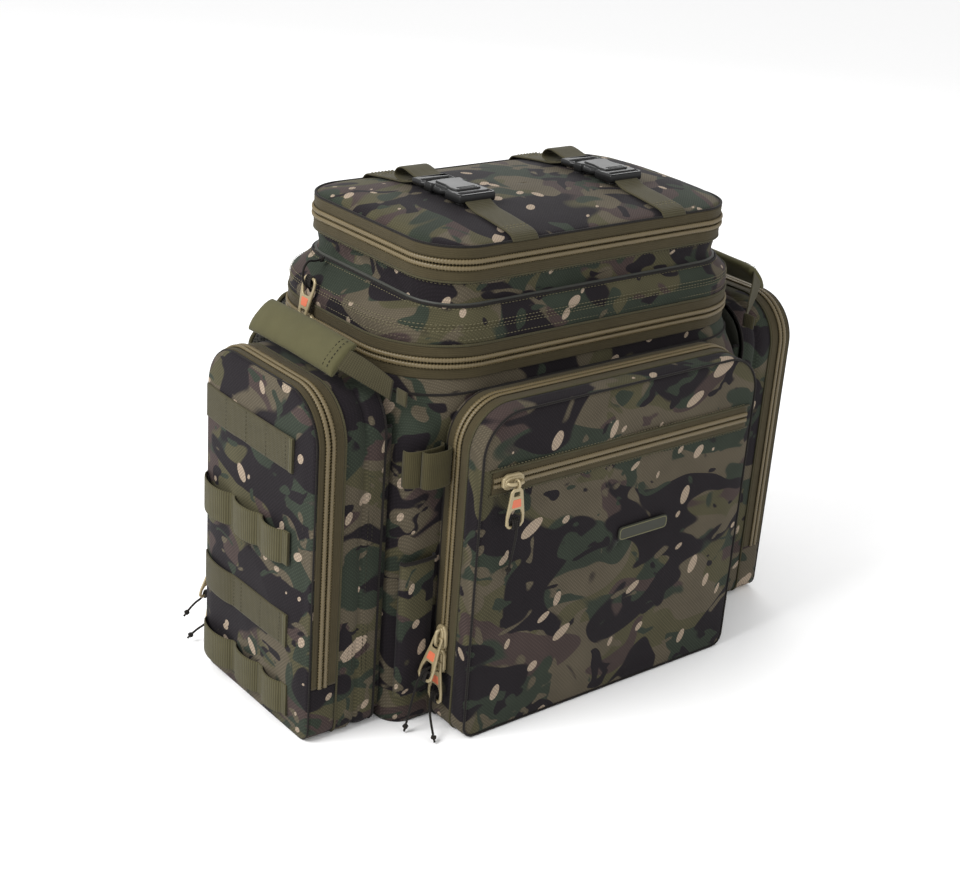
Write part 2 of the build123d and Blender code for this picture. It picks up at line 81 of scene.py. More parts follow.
class Shader:
    """A material's node tree, written as nested calls: an input is a value or another node's output."""

    def __init__(self, name, roughness, specular=0.3, metallic=0.0, sheen=0.0, coat=0.0):
        self.material = bpy.data.materials.new(name)
        self.material.use_nodes = True
        self.tree = self.material.node_tree
        self.bsdf = self.tree.nodes["Principled BSDF"]
        self.bsdf.inputs["Roughness"].default_value = roughness
        self.bsdf.inputs["Specular IOR Level"].default_value = specular
        self.bsdf.inputs["Metallic"].default_value = metallic
        self.bsdf.inputs["Sheen Weight"].default_value = sheen
        self.bsdf.inputs["Sheen Roughness"].default_value = 0.5
        self.bsdf.inputs["Coat Weight"].default_value = coat
        self.bsdf.inputs["Coat Roughness"].default_value = 0.12

    def node(self, kind, inputs=(), out=0, **settings):
        made = self.tree.nodes.new("ShaderNode" + kind)
        for key, value in settings.items():
            setattr(made, key, value)
        for key, value in dict(inputs).items():
            if isinstance(value, bpy.types.NodeSocket):
                self.tree.links.new(value, made.inputs[key])
            else:
                made.inputs[key].default_value = value
        return made.outputs[out]

    def place(self, scale=(1, 1, 1), shift=(0, 0, 0), turn=(0, 0, 0), uv=False):
        """Where the point is, in the bag's frame or in the piece's own weave map."""
        source = self.node("UVMap", uv_map="weave") if uv else self.node("TexCoord", out="Object")
        if any(turn):
            source = self.node("Mapping", {"Vector": source, "Rotation": turn})
        return self.node("Mapping", {"Vector": source, "Scale": scale, "Location": shift})

    def math(self, operation, a, b=0.0):
        return self.node("Math", {0: a, 1: b}, operation=operation)

    def noise(self, vector, scale, detail=2.0, distortion=0.0, roughness=0.5):
        return self.node("TexNoise", {"Vector": vector, "Scale": scale, "Detail": detail, "Distortion": distortion,
                                      "Roughness": roughness}, out="Fac")

    def step(self, value, low, high):
        """0 below low, 1 above high."""
        return self.node("MapRange", {"Value": value, "From Min": low, "From Max": high}, clamp=True)

    def mix(self, share, a, b, blend="MIX"):
        return self.node("Mix", {0: share, 6: a, 7: b}, out=2, data_type="RGBA", blend_type=blend)

    def scaled(self, value, gain, offset):
        return self.math("ADD", self.math("MULTIPLY", value, gain), offset)

    def shaded(self, colour, shade):
        """The colour made lighter or darker by a grey value."""
        return self.mix(1.0, colour, self.node("CombineColor", {0: shade, 1: shade, 2: shade}), "MULTIPLY")

    def ribs(self, vector, axis, pitch):
        """Bands of that pitch along an axis or the diagonal, 0 to 1."""
        return self.node("TexWave", {"Vector": vector, "Scale": 2 * math.pi / 20 / pitch}, out="Fac",
                         wave_type="BANDS", bands_direction=axis)

    def finish(self, colour, height=None, depth=0.3 * MM, strength=0.6, rough=None):
        for name, value in (("Base Color", colour), ("Roughness", rough)):
            if isinstance(value, bpy.types.NodeSocket):
                self.tree.links.new(value, self.bsdf.inputs[name])
            elif value is not None:
                self.bsdf.inputs[name].default_value = value
        if height is not None:
            bump = self.node("Bump", {"Height": height, "Distance": depth, "Strength": strength})
            self.tree.links.new(bump, self.bsdf.inputs["Normal"])
        return self.material


TAN, OLIVE_TAN, DARK = srgb(92, 84, 69), srgb(80, 76, 55), srgb(30, 25, 29)
GREEN, MAROON, CREAM = srgb(50, 57, 47), srgb(70, 58, 55), srgb(166, 149, 130)


def camo(name, shift=(0, 0, 0), across=(-1, 1, 0.8)):
    """Printed woodland cloth: blotches of six colours, cream flecks and a fine twill. across is how the second set of
    twill lines runs, which has to cross the first on the faces the cloth covers."""
    s = Shader(name, 0.85, specular=0.14, sheen=0.03)
    base = s.place((1, 1, 1.45), shift)
    flat = s.place((1, 1, 1), shift)
    colour = s.mix(s.step(s.noise(base, 9.0, 1.0, 0.6), 0.50, 0.51), TAN, OLIVE_TAN)
    for seed, scale, low, paint in ((3.1, 10.0, 0.565, MAROON), (7.7, 11.0, 0.55, GREEN), (11.3, 9.5, 0.53, DARK),
                                    (17.9, 22.0, 0.64, DARK), (23.3, 20.0, 0.64, GREEN), (29.9, 19.0, 0.655, TAN)):
        moved = s.place((1, 1, 1.5), (shift[0] + seed, shift[1] - seed, shift[2] + 2 * seed))
        colour = s.mix(s.step(s.noise(moved, scale, 1.2, 1.0, 0.45), low, low + 0.016), colour, paint)
    for seed, size, radius, keep, shape, turn in ((5.5, 25.0, 0.14, 0.50, (0.55, 0.8, 1.35), (0.4, 0.5, 0)),
                                                  (31.7, 44.0, 0.15, 0.66, (1.3, 0.9, 0.7), (0.6, -0.9, 0.3)),
                                                  (47.2, 30.0, 0.13, 0.58, (0.85, 0.5, 1.4), (-0.7, 1.1, 0.2))):
        moved = s.place(shape, (shift[0] - seed, shift[1] + seed, shift[2] - seed), turn)
        bent = s.node("Mix", {4: moved, 5: s.node("TexNoise", {"Vector": moved, "Scale": 14.0}, out="Color"), 0: 0.012},
                      out=1, data_type="VECTOR")
        cells = s.node("TexVoronoi", {"Vector": bent, "Scale": size, "Randomness": 0.85}).node
        pick = s.node("SeparateColor", {0: cells.outputs["Color"]}, out=0)
        grown = s.math("MULTIPLY", s.node("SeparateColor", {0: cells.outputs["Color"]}, out=1), radius * 1.3)
        inside = s.math("LESS_THAN", cells.outputs["Distance"], s.math("ADD", grown, radius * 0.5))
        colour = s.mix(s.math("MULTIPLY", inside, s.math("GREATER_THAN", pick, keep)), colour, CREAM)
    twill = s.ribs(flat, "DIAGONAL", 2.0 * MM)
    cross = s.ribs(s.place(across, shift), "DIAGONAL", 1.7 * MM)
    weave = s.math("MULTIPLY", twill, cross)
    fade = s.noise(flat, 26.0, 3.0)
    shade = s.math("ADD", s.math("MULTIPLY", weave, 0.42), s.scaled(fade, 0.34, 0.39))
    return s.finish(s.shaded(colour, shade), s.math("ADD", weave, s.noise(flat, 220.0, 2.0)), 0.25 * MM, 0.55)


def woven(name, colour, pitch, cross, contrast=0.5, depth=0.35 * MM):
    """Webbing, tape or elastic, from its own weave map: ribs across it and finer lines along it."""
    s = Shader(name, 0.8, specular=0.15, sheen=0.05)
    place = s.place(uv=True)
    ribs, lines = s.ribs(place, "X", pitch), s.ribs(place, "Y", cross)
    mottled = s.noise(s.place(), 60.0, 4.0)
    height = s.math("ADD", s.math("MULTIPLY", ribs, 0.6), s.math("MULTIPLY", lines, 0.4))
    shade = s.math("ADD", s.math("MULTIPLY", height, contrast), s.scaled(mottled, 0.30, 0.85 - contrast * 0.5))
    return s.finish(s.shaded(colour, shade), height, depth, 0.7)


def grained(name, colour, roughness, scale=900.0, depth=0.08 * MM, spread=0.12, **shader):
    """Moulded, painted or coated matter, with a fine grain and uneven gloss."""
    s = Shader(name, roughness, **shader)
    fine, wide = s.noise(s.place(), scale, 3.0), s.noise(s.place(), 45.0, 4.0)
    tone = s.shaded(colour, s.scaled(wide, 2 * spread, 1.0 - spread))
    return s.finish(tone, fine, depth, 0.5, s.scaled(wide, 0.16, roughness - 0.08))


def air_mesh(name):
    """Spacer mesh: a dark knit with round holes in staggered rows, painted near black in the holes as painted shade."""
    s = Shader(name, 0.9, specular=0.15, sheen=0.3)
    cells = s.node("TexVoronoi", {"Vector": s.place(), "Scale": 330.0, "Randomness": 0.25}, out="Distance")
    hole = s.step(cells, 0.25, 0.55)
    # Painted shade: the holes get a near-black colour for the shade down in them.
    colour = s.mix(hole, srgb(14, 14, 13), srgb(58, 57, 52))
    return s.finish(colour, hole, 0.8 * MM, 0.8)


CAMO = camo("camo_cloth")
CAMO_SIDE = camo("camo_cloth_side", (0.37, 0.11, 0.23), (1, 1, -0.8))
CAMO_LID = camo("camo_cloth_lid", (0.83, 0.53, 0.61))
WEBBING = woven("olive_webbing", srgb(61, 57, 40), 2.3 * MM, 1.9 * MM, 0.55, 0.5 * MM)
RIBBED = woven("ribbed_webbing", srgb(70, 66, 45), 2.8 * MM, 1.1 * MM, 0.9, 0.9 * MM)
GRIP = woven("grip_cloth", srgb(74, 71, 47), 1.1 * MM, 1.1 * MM, 0.12, 0.15 * MM)
TAPE = woven("zip_tape", srgb(61, 54, 36), 1.2 * MM, 2.1 * MM, 0.5)
# Painted highlight: the coil is a lighter olive than the tape, its own colour lifted to stand for the glints on its
# ribs.
COIL = grained("zip_coil", srgb(96, 84, 58), 0.42, 700.0, specular=0.4)
PIPING = woven("piping", srgb(25, 22, 20), 2.2 * MM, 2.0 * MM, 0.5)
OLIVE_PIPING = woven("olive_piping", srgb(62, 58, 40), 2.2 * MM, 2.0 * MM, 0.4)
THREAD = grained("thread", srgb(104, 98, 74), 0.7)
DARK_THREAD = grained("dark_thread", srgb(40, 37, 24), 0.7)
LINING = grained("lining", srgb(47, 48, 42), 0.55, 260.0, 0.15 * MM, specular=0.4)
PLASTIC = grained("black_plastic", srgb(13, 13, 13), 0.38, 500.0, 0.03 * MM, specular=0.35, coat=0.04)
METAL = grained("zip_metal", srgb(150, 136, 104), 0.36, 400.0, 0.05 * MM, 0.10, metallic=0.25, specular=0.6)
MARK = grained("pull_mark", srgb(196, 104, 74), 0.45, 400.0, 0.05 * MM)
CORD = woven("cord_braid", srgb(30, 27, 24), 2.4 * MM, 1.6 * MM, 0.6, 0.4 * MM)
MESH = air_mesh("spacer_mesh")
RUBBER = grained("badge_rubber", srgb(46, 47, 38), 0.6, 300.0)
RUBBER_LINE = grained("badge_outline", srgb(96, 94, 66), 0.6, 300.0)
ELASTIC = woven("elastic", srgb(60, 55, 34), 2.0 * MM, 0.9 * MM, 0.7, 0.5 * MM)

# ------------------------------------------------------------------ mesh helpers
X_WAY, Y_WAY, Z_WAY = Vector((1, 0, 0)), Vector((0, 1, 0)), Vector((0, 0, 1))


def grid(name, rows, material, wrap_rows=False):
    """A mesh from rings of points of equal number. Its last ring joins its first, or else both ends are capped. Its
    weave map runs along the rings' order in X and round each ring in Y, in metres."""
    points = np.array(rows, float)
    n, m = points.shape[:2]
    i, j = np.meshgrid(np.arange(n if wrap_rows else n - 1), np.arange(m), indexing="ij")
    i2, j2 = (i + 1) % n, (j + 1) % m
    quads = np.stack([i * m + j, i2 * m + j, i2 * m + j2, i * m + j2], -1).reshape(-1, 4)
    mid = points[:, m // 4]
    strides = np.linalg.norm(np.roll(mid, -1, 0) - mid, axis=1)
    us = np.concatenate([[0], np.cumsum(strides)])
    round_row = np.linalg.norm(np.roll(points, -1, 1) - points, axis=2).mean(0)
    vs = np.concatenate([[0], np.cumsum(round_row)])
    uv = np.stack([np.stack([us[i + a], vs[j + b]], -1) for a, b in ((0, 0), (1, 0), (1, 1), (0, 1))], 2).reshape(-1, 2)
    faces = [tuple(q) for q in quads.tolist()]
    if not wrap_rows:
        faces += [tuple(range(m)), tuple(range((n - 1) * m, n * m))]
        uv = np.concatenate([uv, np.zeros((2 * m, 2))])
    mesh = bpy.data.meshes.new(name)
    mesh.from_pydata(points.reshape(-1, 3).tolist(), [], faces)
    layer = mesh.uv_layers.new(name="weave")
    layer.data.foreach_set("uv", (uv * MM).astype(np.float32).ravel())
    mesh.materials.append(material)
    return new_piece(name, mesh)


def new_piece(name, mesh, smooth=True):
    """A piece from a mesh in millimetres. What would sink under the floor is held on it."""
    piece = bpy.data.objects.new(name, mesh)
    scene.collection.objects.link(piece)
    mesh.transform(Matrix.Scale(MM, 4))
    work = bmesh.new()
    work.from_mesh(mesh)
    bmesh.ops.recalc_face_normals(work, faces=work.faces)
    for vertex in work.verts:
        vertex.co.z = max(vertex.co.z, 0.0)
    work.to_mesh(mesh)
    work.free()
    if smooth:
        mesh.polygons.foreach_set("use_smooth", [True] * len(mesh.polygons))
    return piece


def line_inside(piece, first, per_row=None, row_long=None):
    """Gives the inner faces the lining: those past a column of each row, or past a number of rows."""
    mesh = piece.data
    mesh.materials.append(LINING)
    for face in mesh.polygons:
        if (face.index % per_row if per_row else face.index // row_long) >= first:
            face.material_index = 1
    return piece


def repaint(mesh, material):
    mesh.materials.clear()
    mesh.materials.append(material)


def join(name, parts):
    """Several meshes as one piece, keeping their materials."""
    with bpy.context.temp_override(active_object=parts[0], selected_editable_objects=parts, object=parts[0],
                                   selected_objects=parts):
        bpy.ops.object.join()
    parts[0].name = parts[0].data.name = name
    return parts[0]


def settle(piece, kind, **settings):
    """Adds a modifier and applies it at once."""
    made = piece.modifiers.new(kind, kind)
    for key, value in settings.items():
        setattr(made, key, value)
    mesh = bpy.data.meshes.new_from_object(piece.evaluated_get(bpy.context.evaluated_depsgraph_get()))
    piece.modifiers.clear()
    old, piece.data = piece.data, mesh
    bpy.data.meshes.remove(old)
    mesh.polygons.foreach_set("use_smooth", [True] * len(mesh.polygons))


def put(piece, body, slot, *nodes):
    """The piece rides on a body and stands for CAD nodes, which it hides. Its slot is not used."""
    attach(piece, body)
    if nodes:
        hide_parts(*nodes)
    return piece


def mirrored(piece, name):
    """A copy on the other side of the bag."""
    mesh = piece.data.copy()
    mesh.transform(Matrix.Scale(-1, 4, (1, 0, 0)))
    mesh.flip_normals()
    twin = bpy.data.objects.new(name, mesh)
    scene.collection.objects.link(twin)
    return twin


class Loop:
    """A rounded rectangle walked anticlockwise from the middle of its low edge."""

    def __init__(self, x0, x1, y0, y1, r_low, r_high):
        middle = (x0 + x1) / 2
        low, high = math.pi / 2 * r_low, math.pi / 2 * r_high
        rise = y1 - r_high - y0 - r_low
        # Each stretch has its length, its start or its arc's centre, its heading, and its radius, 0 where straight.
        self.parts = [(x1 - r_low - middle, (middle, y0), (1, 0), 0), (low, (x1 - r_low, y0 + r_low), -90, r_low),
                      (rise, (x1, y0 + r_low), (0, 1), 0), (high, (x1 - r_high, y1 - r_high), 0, r_high),
                      (x1 - x0 - 2 * r_high, (x1 - r_high, y1), (-1, 0), 0),
                      (high, (x0 + r_high, y1 - r_high), 90, r_high), (rise, (x0, y1 - r_high), (0, -1), 0),
                      (low, (x0 + r_low, y0 + r_low), 180, r_low),
                      (middle - x0 - r_low, (x0 + r_low, y0), (1, 0), 0)]
        self.length = sum(part[0] for part in self.parts)
        self.centre = Vector((middle, (y0 + y1) / 2))

    def at(self, s):
        """The point and the outward normal at that distance round the loop."""
        s %= self.length
        for length, start, heading, radius in self.parts:
            if s <= length:
                break
            s -= length
        if radius:
            angle = math.radians(heading) + s / radius
            normal = Vector((math.cos(angle), math.sin(angle)))
            return Vector(start) + radius * normal, normal
        return Vector(start) + s * Vector(heading), Vector((heading[1], -heading[0]))

    def reach(self, height):
        """How far round the loop its right-hand side reaches that height."""
        run, corner, side = self.parts[:3]
        return run[0] + corner[0] + height - side[1][1]


REAR_HINGE = 100  # past this depth the lid's and flap's cloth folds, so it lies flat there


def plan(p, along):
    return Vector((p.x, p.y, along))


def facing(p, along):
    return Vector((p.x, along, p.y))


def right_side(p, along):
    return Vector((along, p.x, p.y))


def folds(point, grain, seed=0.0):
    """Soft creases in cloth, about -1 to 1. grain is how many fit in a metre along each axis."""
    q = Vector((point[0] * grain[0] * MM + seed, point[1] * grain[1] * MM - seed, point[2] * grain[2] * MM + 2 * seed))
    ridge = 1 - 3.2 * abs(noise.noise(0.8 * q + Vector((9, 2, 4))))
    return noise.noise(q) + 0.4 * noise.noise(2.1 * q + Vector((5, 5, 5))) + 0.45 * max(-0.6, ridge)


def loft(name, profile, place, count, material, sill=None, grain=(9, 9, 9), seed=0.0, below=False, still=False):
    """Sweeps a closed profile round its loops. Each profile point is (loop, outwards, along, crease depth). With a
    sill, only the stretch above that height is made, or below it. A still one has no creases at the rear hinge."""
    rows = []
    for k in range(count if sill is None else count + 1):
        row = []
        for loop, out, along, crease in profile:
            if sill is None:
                s = loop.length * k / count
            else:
                start = loop.reach(sill)
                first, span = (-start, 2 * start) if below else (start, loop.length - 2 * start)
                s = first + span * k / count
            p, normal = loop.at(s)
            push = out
            if crease:
                push += crease * folds(place(p, along), grain, seed) * (0 if still and p.y > REAR_HINGE else 1)
            row.append(place(p + normal * push, along))
        rows.append(row)
    return grid(name, rows, material, wrap_rows=sill is None)


def panel(name, loop, place, height, thick, material, rings, count):
    """A sheet that fills a loop. height(point, rim) is how far along the third axis its outer face stands, where rim
    runs from 1 at the edge to 0 at the centre."""
    rows = []
    samples = [loop.at(loop.length * k / count)[0] for k in range(count)]
    scales = [1 - k / rings for k in range(rings)] + [0.004]
    for lift in (0, 1):
        for scale in scales if lift == 0 else reversed(scales):
            row = []
            for p in samples:
                q = loop.centre + (p - loop.centre) * scale
                row.append(place(q, height(q, scale) - lift * thick))
            rows.append(row)
    return line_inside(grid(name, rows, material, wrap_rows=True), len(rows) // 2, row_long=count)


def rod(name, points, radius, material, sides=6, closed=False):
    """A round strand through points."""
    rows = []
    points = [Vector(p) for p in points]
    last = len(points) - 1
    up = None
    for k in range(len(points)):
        before = points[k - 1 if closed else max(k - 1, 0)]
        after = points[(k + 1) % len(points) if closed else min(k + 1, last)]
        way = (after - before).normalized()
        if up is None:
            up = way.orthogonal().normalized()
        up = (up - way * up.dot(way)).normalized()
        side = way.cross(up)
        rows.append([points[k] + radius * (math.cos(a) * up + math.sin(a) * side)
                     for a in (2 * math.pi * j / sides for j in range(sides))])
    return grid(name, rows, material, wrap_rows=closed)


# Round a ribbon's section, in half widths across and thicknesses out.
RIBBON_EDGE = ((-1, 0.5), (-0.97, 0.9), (-0.85, 1), (-0.4, 1), (0, 1), (0.4, 1), (0.85, 1), (0.97, 0.9), (1, 0.5),
               (0.97, 0.1), (0.85, 0), (0, 0), (-0.85, 0), (-0.97, 0.1))


def ribbon(name, centres, across, out, width, thick, material=WEBBING):
    """Webbing along centres, with rounded long edges. across and out are one direction, or one for each point."""
    rows = []
    half = width / 2
    across, out = (ways if isinstance(ways, list) else [ways] * len(centres) for ways in (across, out))
    for c, a, o in zip(centres, across, out):
        c, a, o = Vector(c), Vector(a).normalized(), Vector(o).normalized()
        rows.append([c + a * (v * half) + o * (thick * w) for v, w in RIBBON_EDGE])
    return grid(name, rows, material)


STITCH_LENGTH, STITCH_PITCH, STITCH_RADIUS = 2.6, 4.2, 0.42


class Stitches:
    """Every stitch that rides on one body, gathered into one mesh."""

    def __init__(self, body):
        self.body, self.verts, self.faces = body, [], []

    def row(self, spots, out):
        """Stitches along spots. out is where they face, one direction or one for each spot."""
        spots = [Vector(p) for p in spots]
        radius = STITCH_RADIUS
        travelled, target = 0.0, STITCH_PITCH / 2
        for k, (a, b) in enumerate(zip(spots, spots[1:])):
            step = (b - a).length
            way = (b - a) / step
            o = Vector(out[k] if isinstance(out, list) else out).normalized()
            side = way.cross(o).normalized()
            while target <= travelled + step:
                c = a + way * (target - travelled)
                base = len(self.verts)
                for u, wide, high in ((-0.5, 0.3, 0.0), (-0.3, 1, 0.9), (0.3, 1, 0.9), (0.5, 0.3, 0.0)):
                    middle = c + way * (u * STITCH_LENGTH)
                    self.verts += [middle - side * (wide * radius) - o * radius * 0.6, middle + o * (high * radius),
                                   middle + side * (wide * radius) - o * radius * 0.6]
                for ring in range(base, base + 9, 3):
                    for e in range(3):
                        f = (e + 1) % 3
                        self.faces.append((ring + e, ring + f, ring + 3 + f, ring + 3 + e))
                self.faces += [(base, base + 1, base + 2), (base + 9, base + 11, base + 10)]
                target += STITCH_PITCH
            travelled += step

    def box(self, corner, along, across, out):
        """A rectangle of stitches with a cross in it."""
        c, a, b = Vector(corner), Vector(along), Vector(across)
        ring = [c, c + a, c + a + b, c + b, c]
        for p, q in list(zip(ring, ring[1:])) + [(c, c + a + b), (c + a, c + b)]:
            self.row([p, q], out)

    def make(self, slot="olive_webbing", thread=THREAD):
        mesh = bpy.data.meshes.new("stitches_" + self.body)
        mesh.from_pydata([tuple(v) for v in self.verts], [], self.faces)
        mesh.materials.append(thread)
        put(new_piece("stitches_" + self.body, mesh), self.body, slot)


def rounded(points, radius, steps=5):
    """A polygon's points with each corner turned into an arc. A corner may bring its own radius as a third value."""
    made = []
    count = len(points)
    for k in range(count):
        before, at, after = (Vector(points[(k + d) % count][:2]) for d in (-1, 0, 1))
        r = points[k][2] if len(points[k]) > 2 else radius
        a, b = (before - at), (after - at)
        la, lb = a.length, b.length
        a, b = a / la, b / lb
        half = math.acos(max(-1, min(1, a.dot(b)))) / 2
        cut = min(r / math.tan(half), 0.48 * la, 0.48 * lb) if half > 1e-3 else 0
        start, end = at + a * cut, at + b * cut
        if cut < 1e-6:
            made.append(at)
            continue
        for j in range(steps + 1):
            t = j / steps
            made.append((1 - t) ** 2 * start + 2 * t * (1 - t) * at + t * t * end)
    return made


def plate(name, outlines, thick, bevel, material, matrix):
    """A flat moulding with rounded edges: outlines in millimetres, the first one outside and the others its holes."""
    curve = bpy.data.curves.new(name, "CURVE")
    curve.dimensions, curve.fill_mode = "2D", "BOTH"
    curve.extrude, curve.bevel_depth, curve.bevel_resolution = thick / 2 - bevel, bevel, 2
    curve.offset = -bevel
    for outline in outlines:
        spline = curve.splines.new("POLY")
        spline.points.add(len(outline) - 1)
        for point, p in zip(spline.points, outline):
            point.co = (p[0], p[1], 0, 1)
        spline.use_cyclic_u = True
    holder = bpy.data.objects.new(name, curve)
    scene.collection.objects.link(holder)
    mesh = bpy.data.meshes.new_from_object(holder.evaluated_get(bpy.context.evaluated_depsgraph_get()))
    bpy.data.objects.remove(holder)
    bpy.data.curves.remove(curve)
    work = bmesh.new()
    work.from_mesh(mesh)
    bmesh.ops.remove_doubles(work, verts=work.verts, dist=1e-3)
    work.to_mesh(mesh)
    work.free()
    mesh.transform(matrix)
    repaint(mesh, material)
    mesh.uv_layers.new(name="weave")
    return new_piece(name, mesh, smooth=False)


# ------------------------------------------------------------------ cords on the zip pulls


def lean(degrees, still, towards):
    """A direction turned from one way towards another."""
    a = math.radians(degrees)
    return Vector(still) * math.cos(a) + Vector(towards) * math.sin(a)


DOWN = (0, 0, -1)
PULLS = {  # where each pull hangs, which way it lies, which way it faces, and whether its neck is a fork
    "face": ((-150, -209.9, 280), Vector(DOWN), Vector((0, -1, 0)), False),
    "front_upper": ((-192.5, -160, 102), lean(20, DOWN, (-1, 0, 0)), lean(20, (-1, 0, 0), (0, 0, 1)), True),
    "front_lower": ((-192.5, -160, 75.5), Vector(DOWN), Vector((-1, 0, 0)), True),
    "lid": ((-241, 30, 380.5), lean(13, (0, 0, 1), (1, 0, 0)), lean(13, (-1, 0, 0), (0, 0, 1)), False),
    "tray": ((208, 48, 473.5), lean(31, DOWN, (1, 0, 0)), lean(31, (1, 0, 0), (0, 0, 1)), False),
}
for side, k in (("left", -1), ("right", 1)):
    PULLS[side + "_upper"] = ((304 * k, 83.5, 102), lean(20, DOWN, (0, 1, 0)), lean(20, (0, 1, 0), (0, 0, 1)), True)
    PULLS[side + "_lower"] = ((304 * k, 83.5, 75.5), Vector(DOWN), Vector((0, 1, 0)), True)


CORD_WIDTH = 2.4


def cord(name, body, route):
    """One limp cord from its pull's eye to its knot, which lies at the end of the route."""
    curve = bpy.data.curves.new(name, "CURVE")
    curve.dimensions, curve.bevel_depth, curve.bevel_resolution, curve.resolution_u = "3D", CORD_WIDTH / 2 * MM, 3, 24
    curve.use_fill_caps = True
    spline = curve.splines.new("NURBS")
    spline.points.add(len(route) - 1)
    for point, at in zip(spline.points, route):
        point.co = (*[value * MM for value in at], 1)
    spline.order_u, spline.use_endpoint_u = 3, True
    line = bpy.data.objects.new(name + "_line", curve)
    scene.collection.objects.link(line)
    curve.materials.append(CORD)
    put(line, body, "cord_black", name)
    knot = put(overhand(name + "_knot", Vector(route[-1]), Vector(route[-1]) - Vector(route[-2])), body, "cord_black")
    tie = put(lark_head(name + "_tie", *PULLS[name[:-5]][:3]), body, "cord_black")
    tuple(value * MM for value in route[0])


def overhand(name, at, way):
    """An overhand knot with a short tail."""
    way = way.normalized()
    side = way.orthogonal().normalized()
    other = way.cross(side)
    points = []
    for k in range(33):
        t = k / 32
        angle = 2 * math.pi * 2.2 * t
        swell = 1.9 * math.sin(math.pi * t) ** 0.5
        points.append(at + way * (1.0 + 3.4 * t) + side * (swell * math.cos(angle)) + other * (swell * math.sin(angle)))
    turns = rod(name, points, 1.25, CORD, 8)
    tail = rod(name + "_tail", [at + way * 4, at + way * 6 + side * 0.4, at + way * 8 + side * 1.0], 1.15, CORD, 8)
    return join(name, [turns, tail])


def lark_head(name, pivot, along, out):
    """The turns of the cord round the wide end of its pull."""
    across = out.cross(along)
    parts = []
    for shift in (-3.4, -1.1, 1.2, 3.5):
        ring = [Vector(pivot) + along * (41.6 + 5.0 * math.cos(a)) + across * (shift + 0.3 * math.sin(2 * a)) +
                out * (2.3 * math.sin(a)) for a in (2 * math.pi * k / 20 for k in range(20))]
        parts.append(rod(name + "_turn", ring, 1.1, CORD, 7, closed=True))
    return join(name, parts)


cord("face_cord", "face_pull", [(-150, -205.5, 244), (-150, -213.5, 242), (-150, -214, 226), (-149, -209.5, 206),
                                (-148, -205, 188)])
cord("front_upper_cord", "front_upper_pull", [(-200.3, -160, 71), (-213, -160, 67), (-218, -158, 45), (-221, -156, 22),
                                              (-223, -155, 9.5)])
cord("front_lower_cord", "front_lower_pull", [(-190.4, -160, 39.5), (-198, -160, 37), (-203, -166, 24),
                                              (-207, -176, 13), (-209, -182, 7)])
cord("lid_cord", "lid_pull", [(-230.7, 30, 410), (-231.2, 30, 414), (-239.5, 30, 419), (-238, 34, 432),
                              (-229, 38, 439.5), (-218, 43, 435.6), (-210, 46, 435.2)])
cord("left_upper_cord", "left_upper_pull", [(-304, 89.5, 68), (-304, 99, 65), (-308, 105, 54), (-313, 112, 46),
                                            (-317, 117, 36)])
cord("left_lower_cord", "left_lower_pull", [(-304, 81.8, 39), (-305, 89, 36), (-309, 97, 26), (-313, 105, 18),
                                            (-316, 110, 11)])

# ------------------------------------------------------------------ shapes that several pieces follow


def smooth(t):
    t = min(1, max(0, t))
    return t * t * (3 - 2 * t)


def body_loop(z):
    corner = 25 + 58 * smooth((z - 300) / 64)
    return Loop(-232, 232, -140, 130, corner, corner)


def lid_loop(t):
    """The lid's outline, from its skirt at 0 to its tray at 1."""
    return Loop(-229 + 33 * t, 229 - 33 * t, -140 + 9 * t, 130 - 17 * t, 85 - 35 * t, 85 - 35 * t)


SKIRT, TRAY = lid_loop(0), lid_loop(1)
FRONT = Loop(-184, 184, 0, 350, 14, 45)
SIDE = Loop(-121, 75, 0, 363, 14, 50)
# Where each zip's tapes part.
LID_SEAM, TRAY_SEAM, FRONT_SEAM, SIDE_SEAM, FACE_SEAM = 380.5, 473.5, -160.1, 304.0, 280
WIDE_TAPE = 16.2
FACE, BACK = -198, 130.2  # the front pocket's face and the cloth on the bag's back


def dome(y):
    return 504 - (y + 9) ** 2 / 1488


def face_y(x, z):
    """The front pocket's face, which swells between its foot and its zip, and a little above it."""
    across = max(0, 1 - (x / 178) ** 4)
    if z < 268:
        return FACE - 5.0 * across * math.sin(math.pi * smooth(z / 268) ** 0.9) ** 0.8
    return FACE - 1.5 * across * max(0, math.sin(math.pi * (z - 292) / 58)) if z > 292 else FACE


def side_x(y, z):
    """The side pocket's outer panel, which swells slightly."""
    across = max(0, 1 - ((y + 23) / 92) ** 4)
    return 320 + 6.0 * across * math.sin(math.pi * min(1, max(0, z / 350)))


COIL_RADIUS, COIL_PITCH, COIL_OFFSET = 2.9, 3.1, 3.1


def coil(name, at, length, closed):
    """One row of zip teeth: a bead with a rib every pitch. at(s) gives its centre and two directions across it."""
    count = int(length / COIL_PITCH) * 3
    rows = []
    for k in range(count + (0 if closed else 1)):
        centre, out, along = at(length * k / count)
        r = COIL_RADIUS * (1.0 if k % 3 == 0 else 0.70)
        rows.append([centre + out * (r * 0.6 * math.cos(a)) + along * (r * math.sin(a))
                     for a in (2 * math.pi * j / 8 for j in range(8))])
    return grid(name, rows, COIL, wrap_rows=closed)


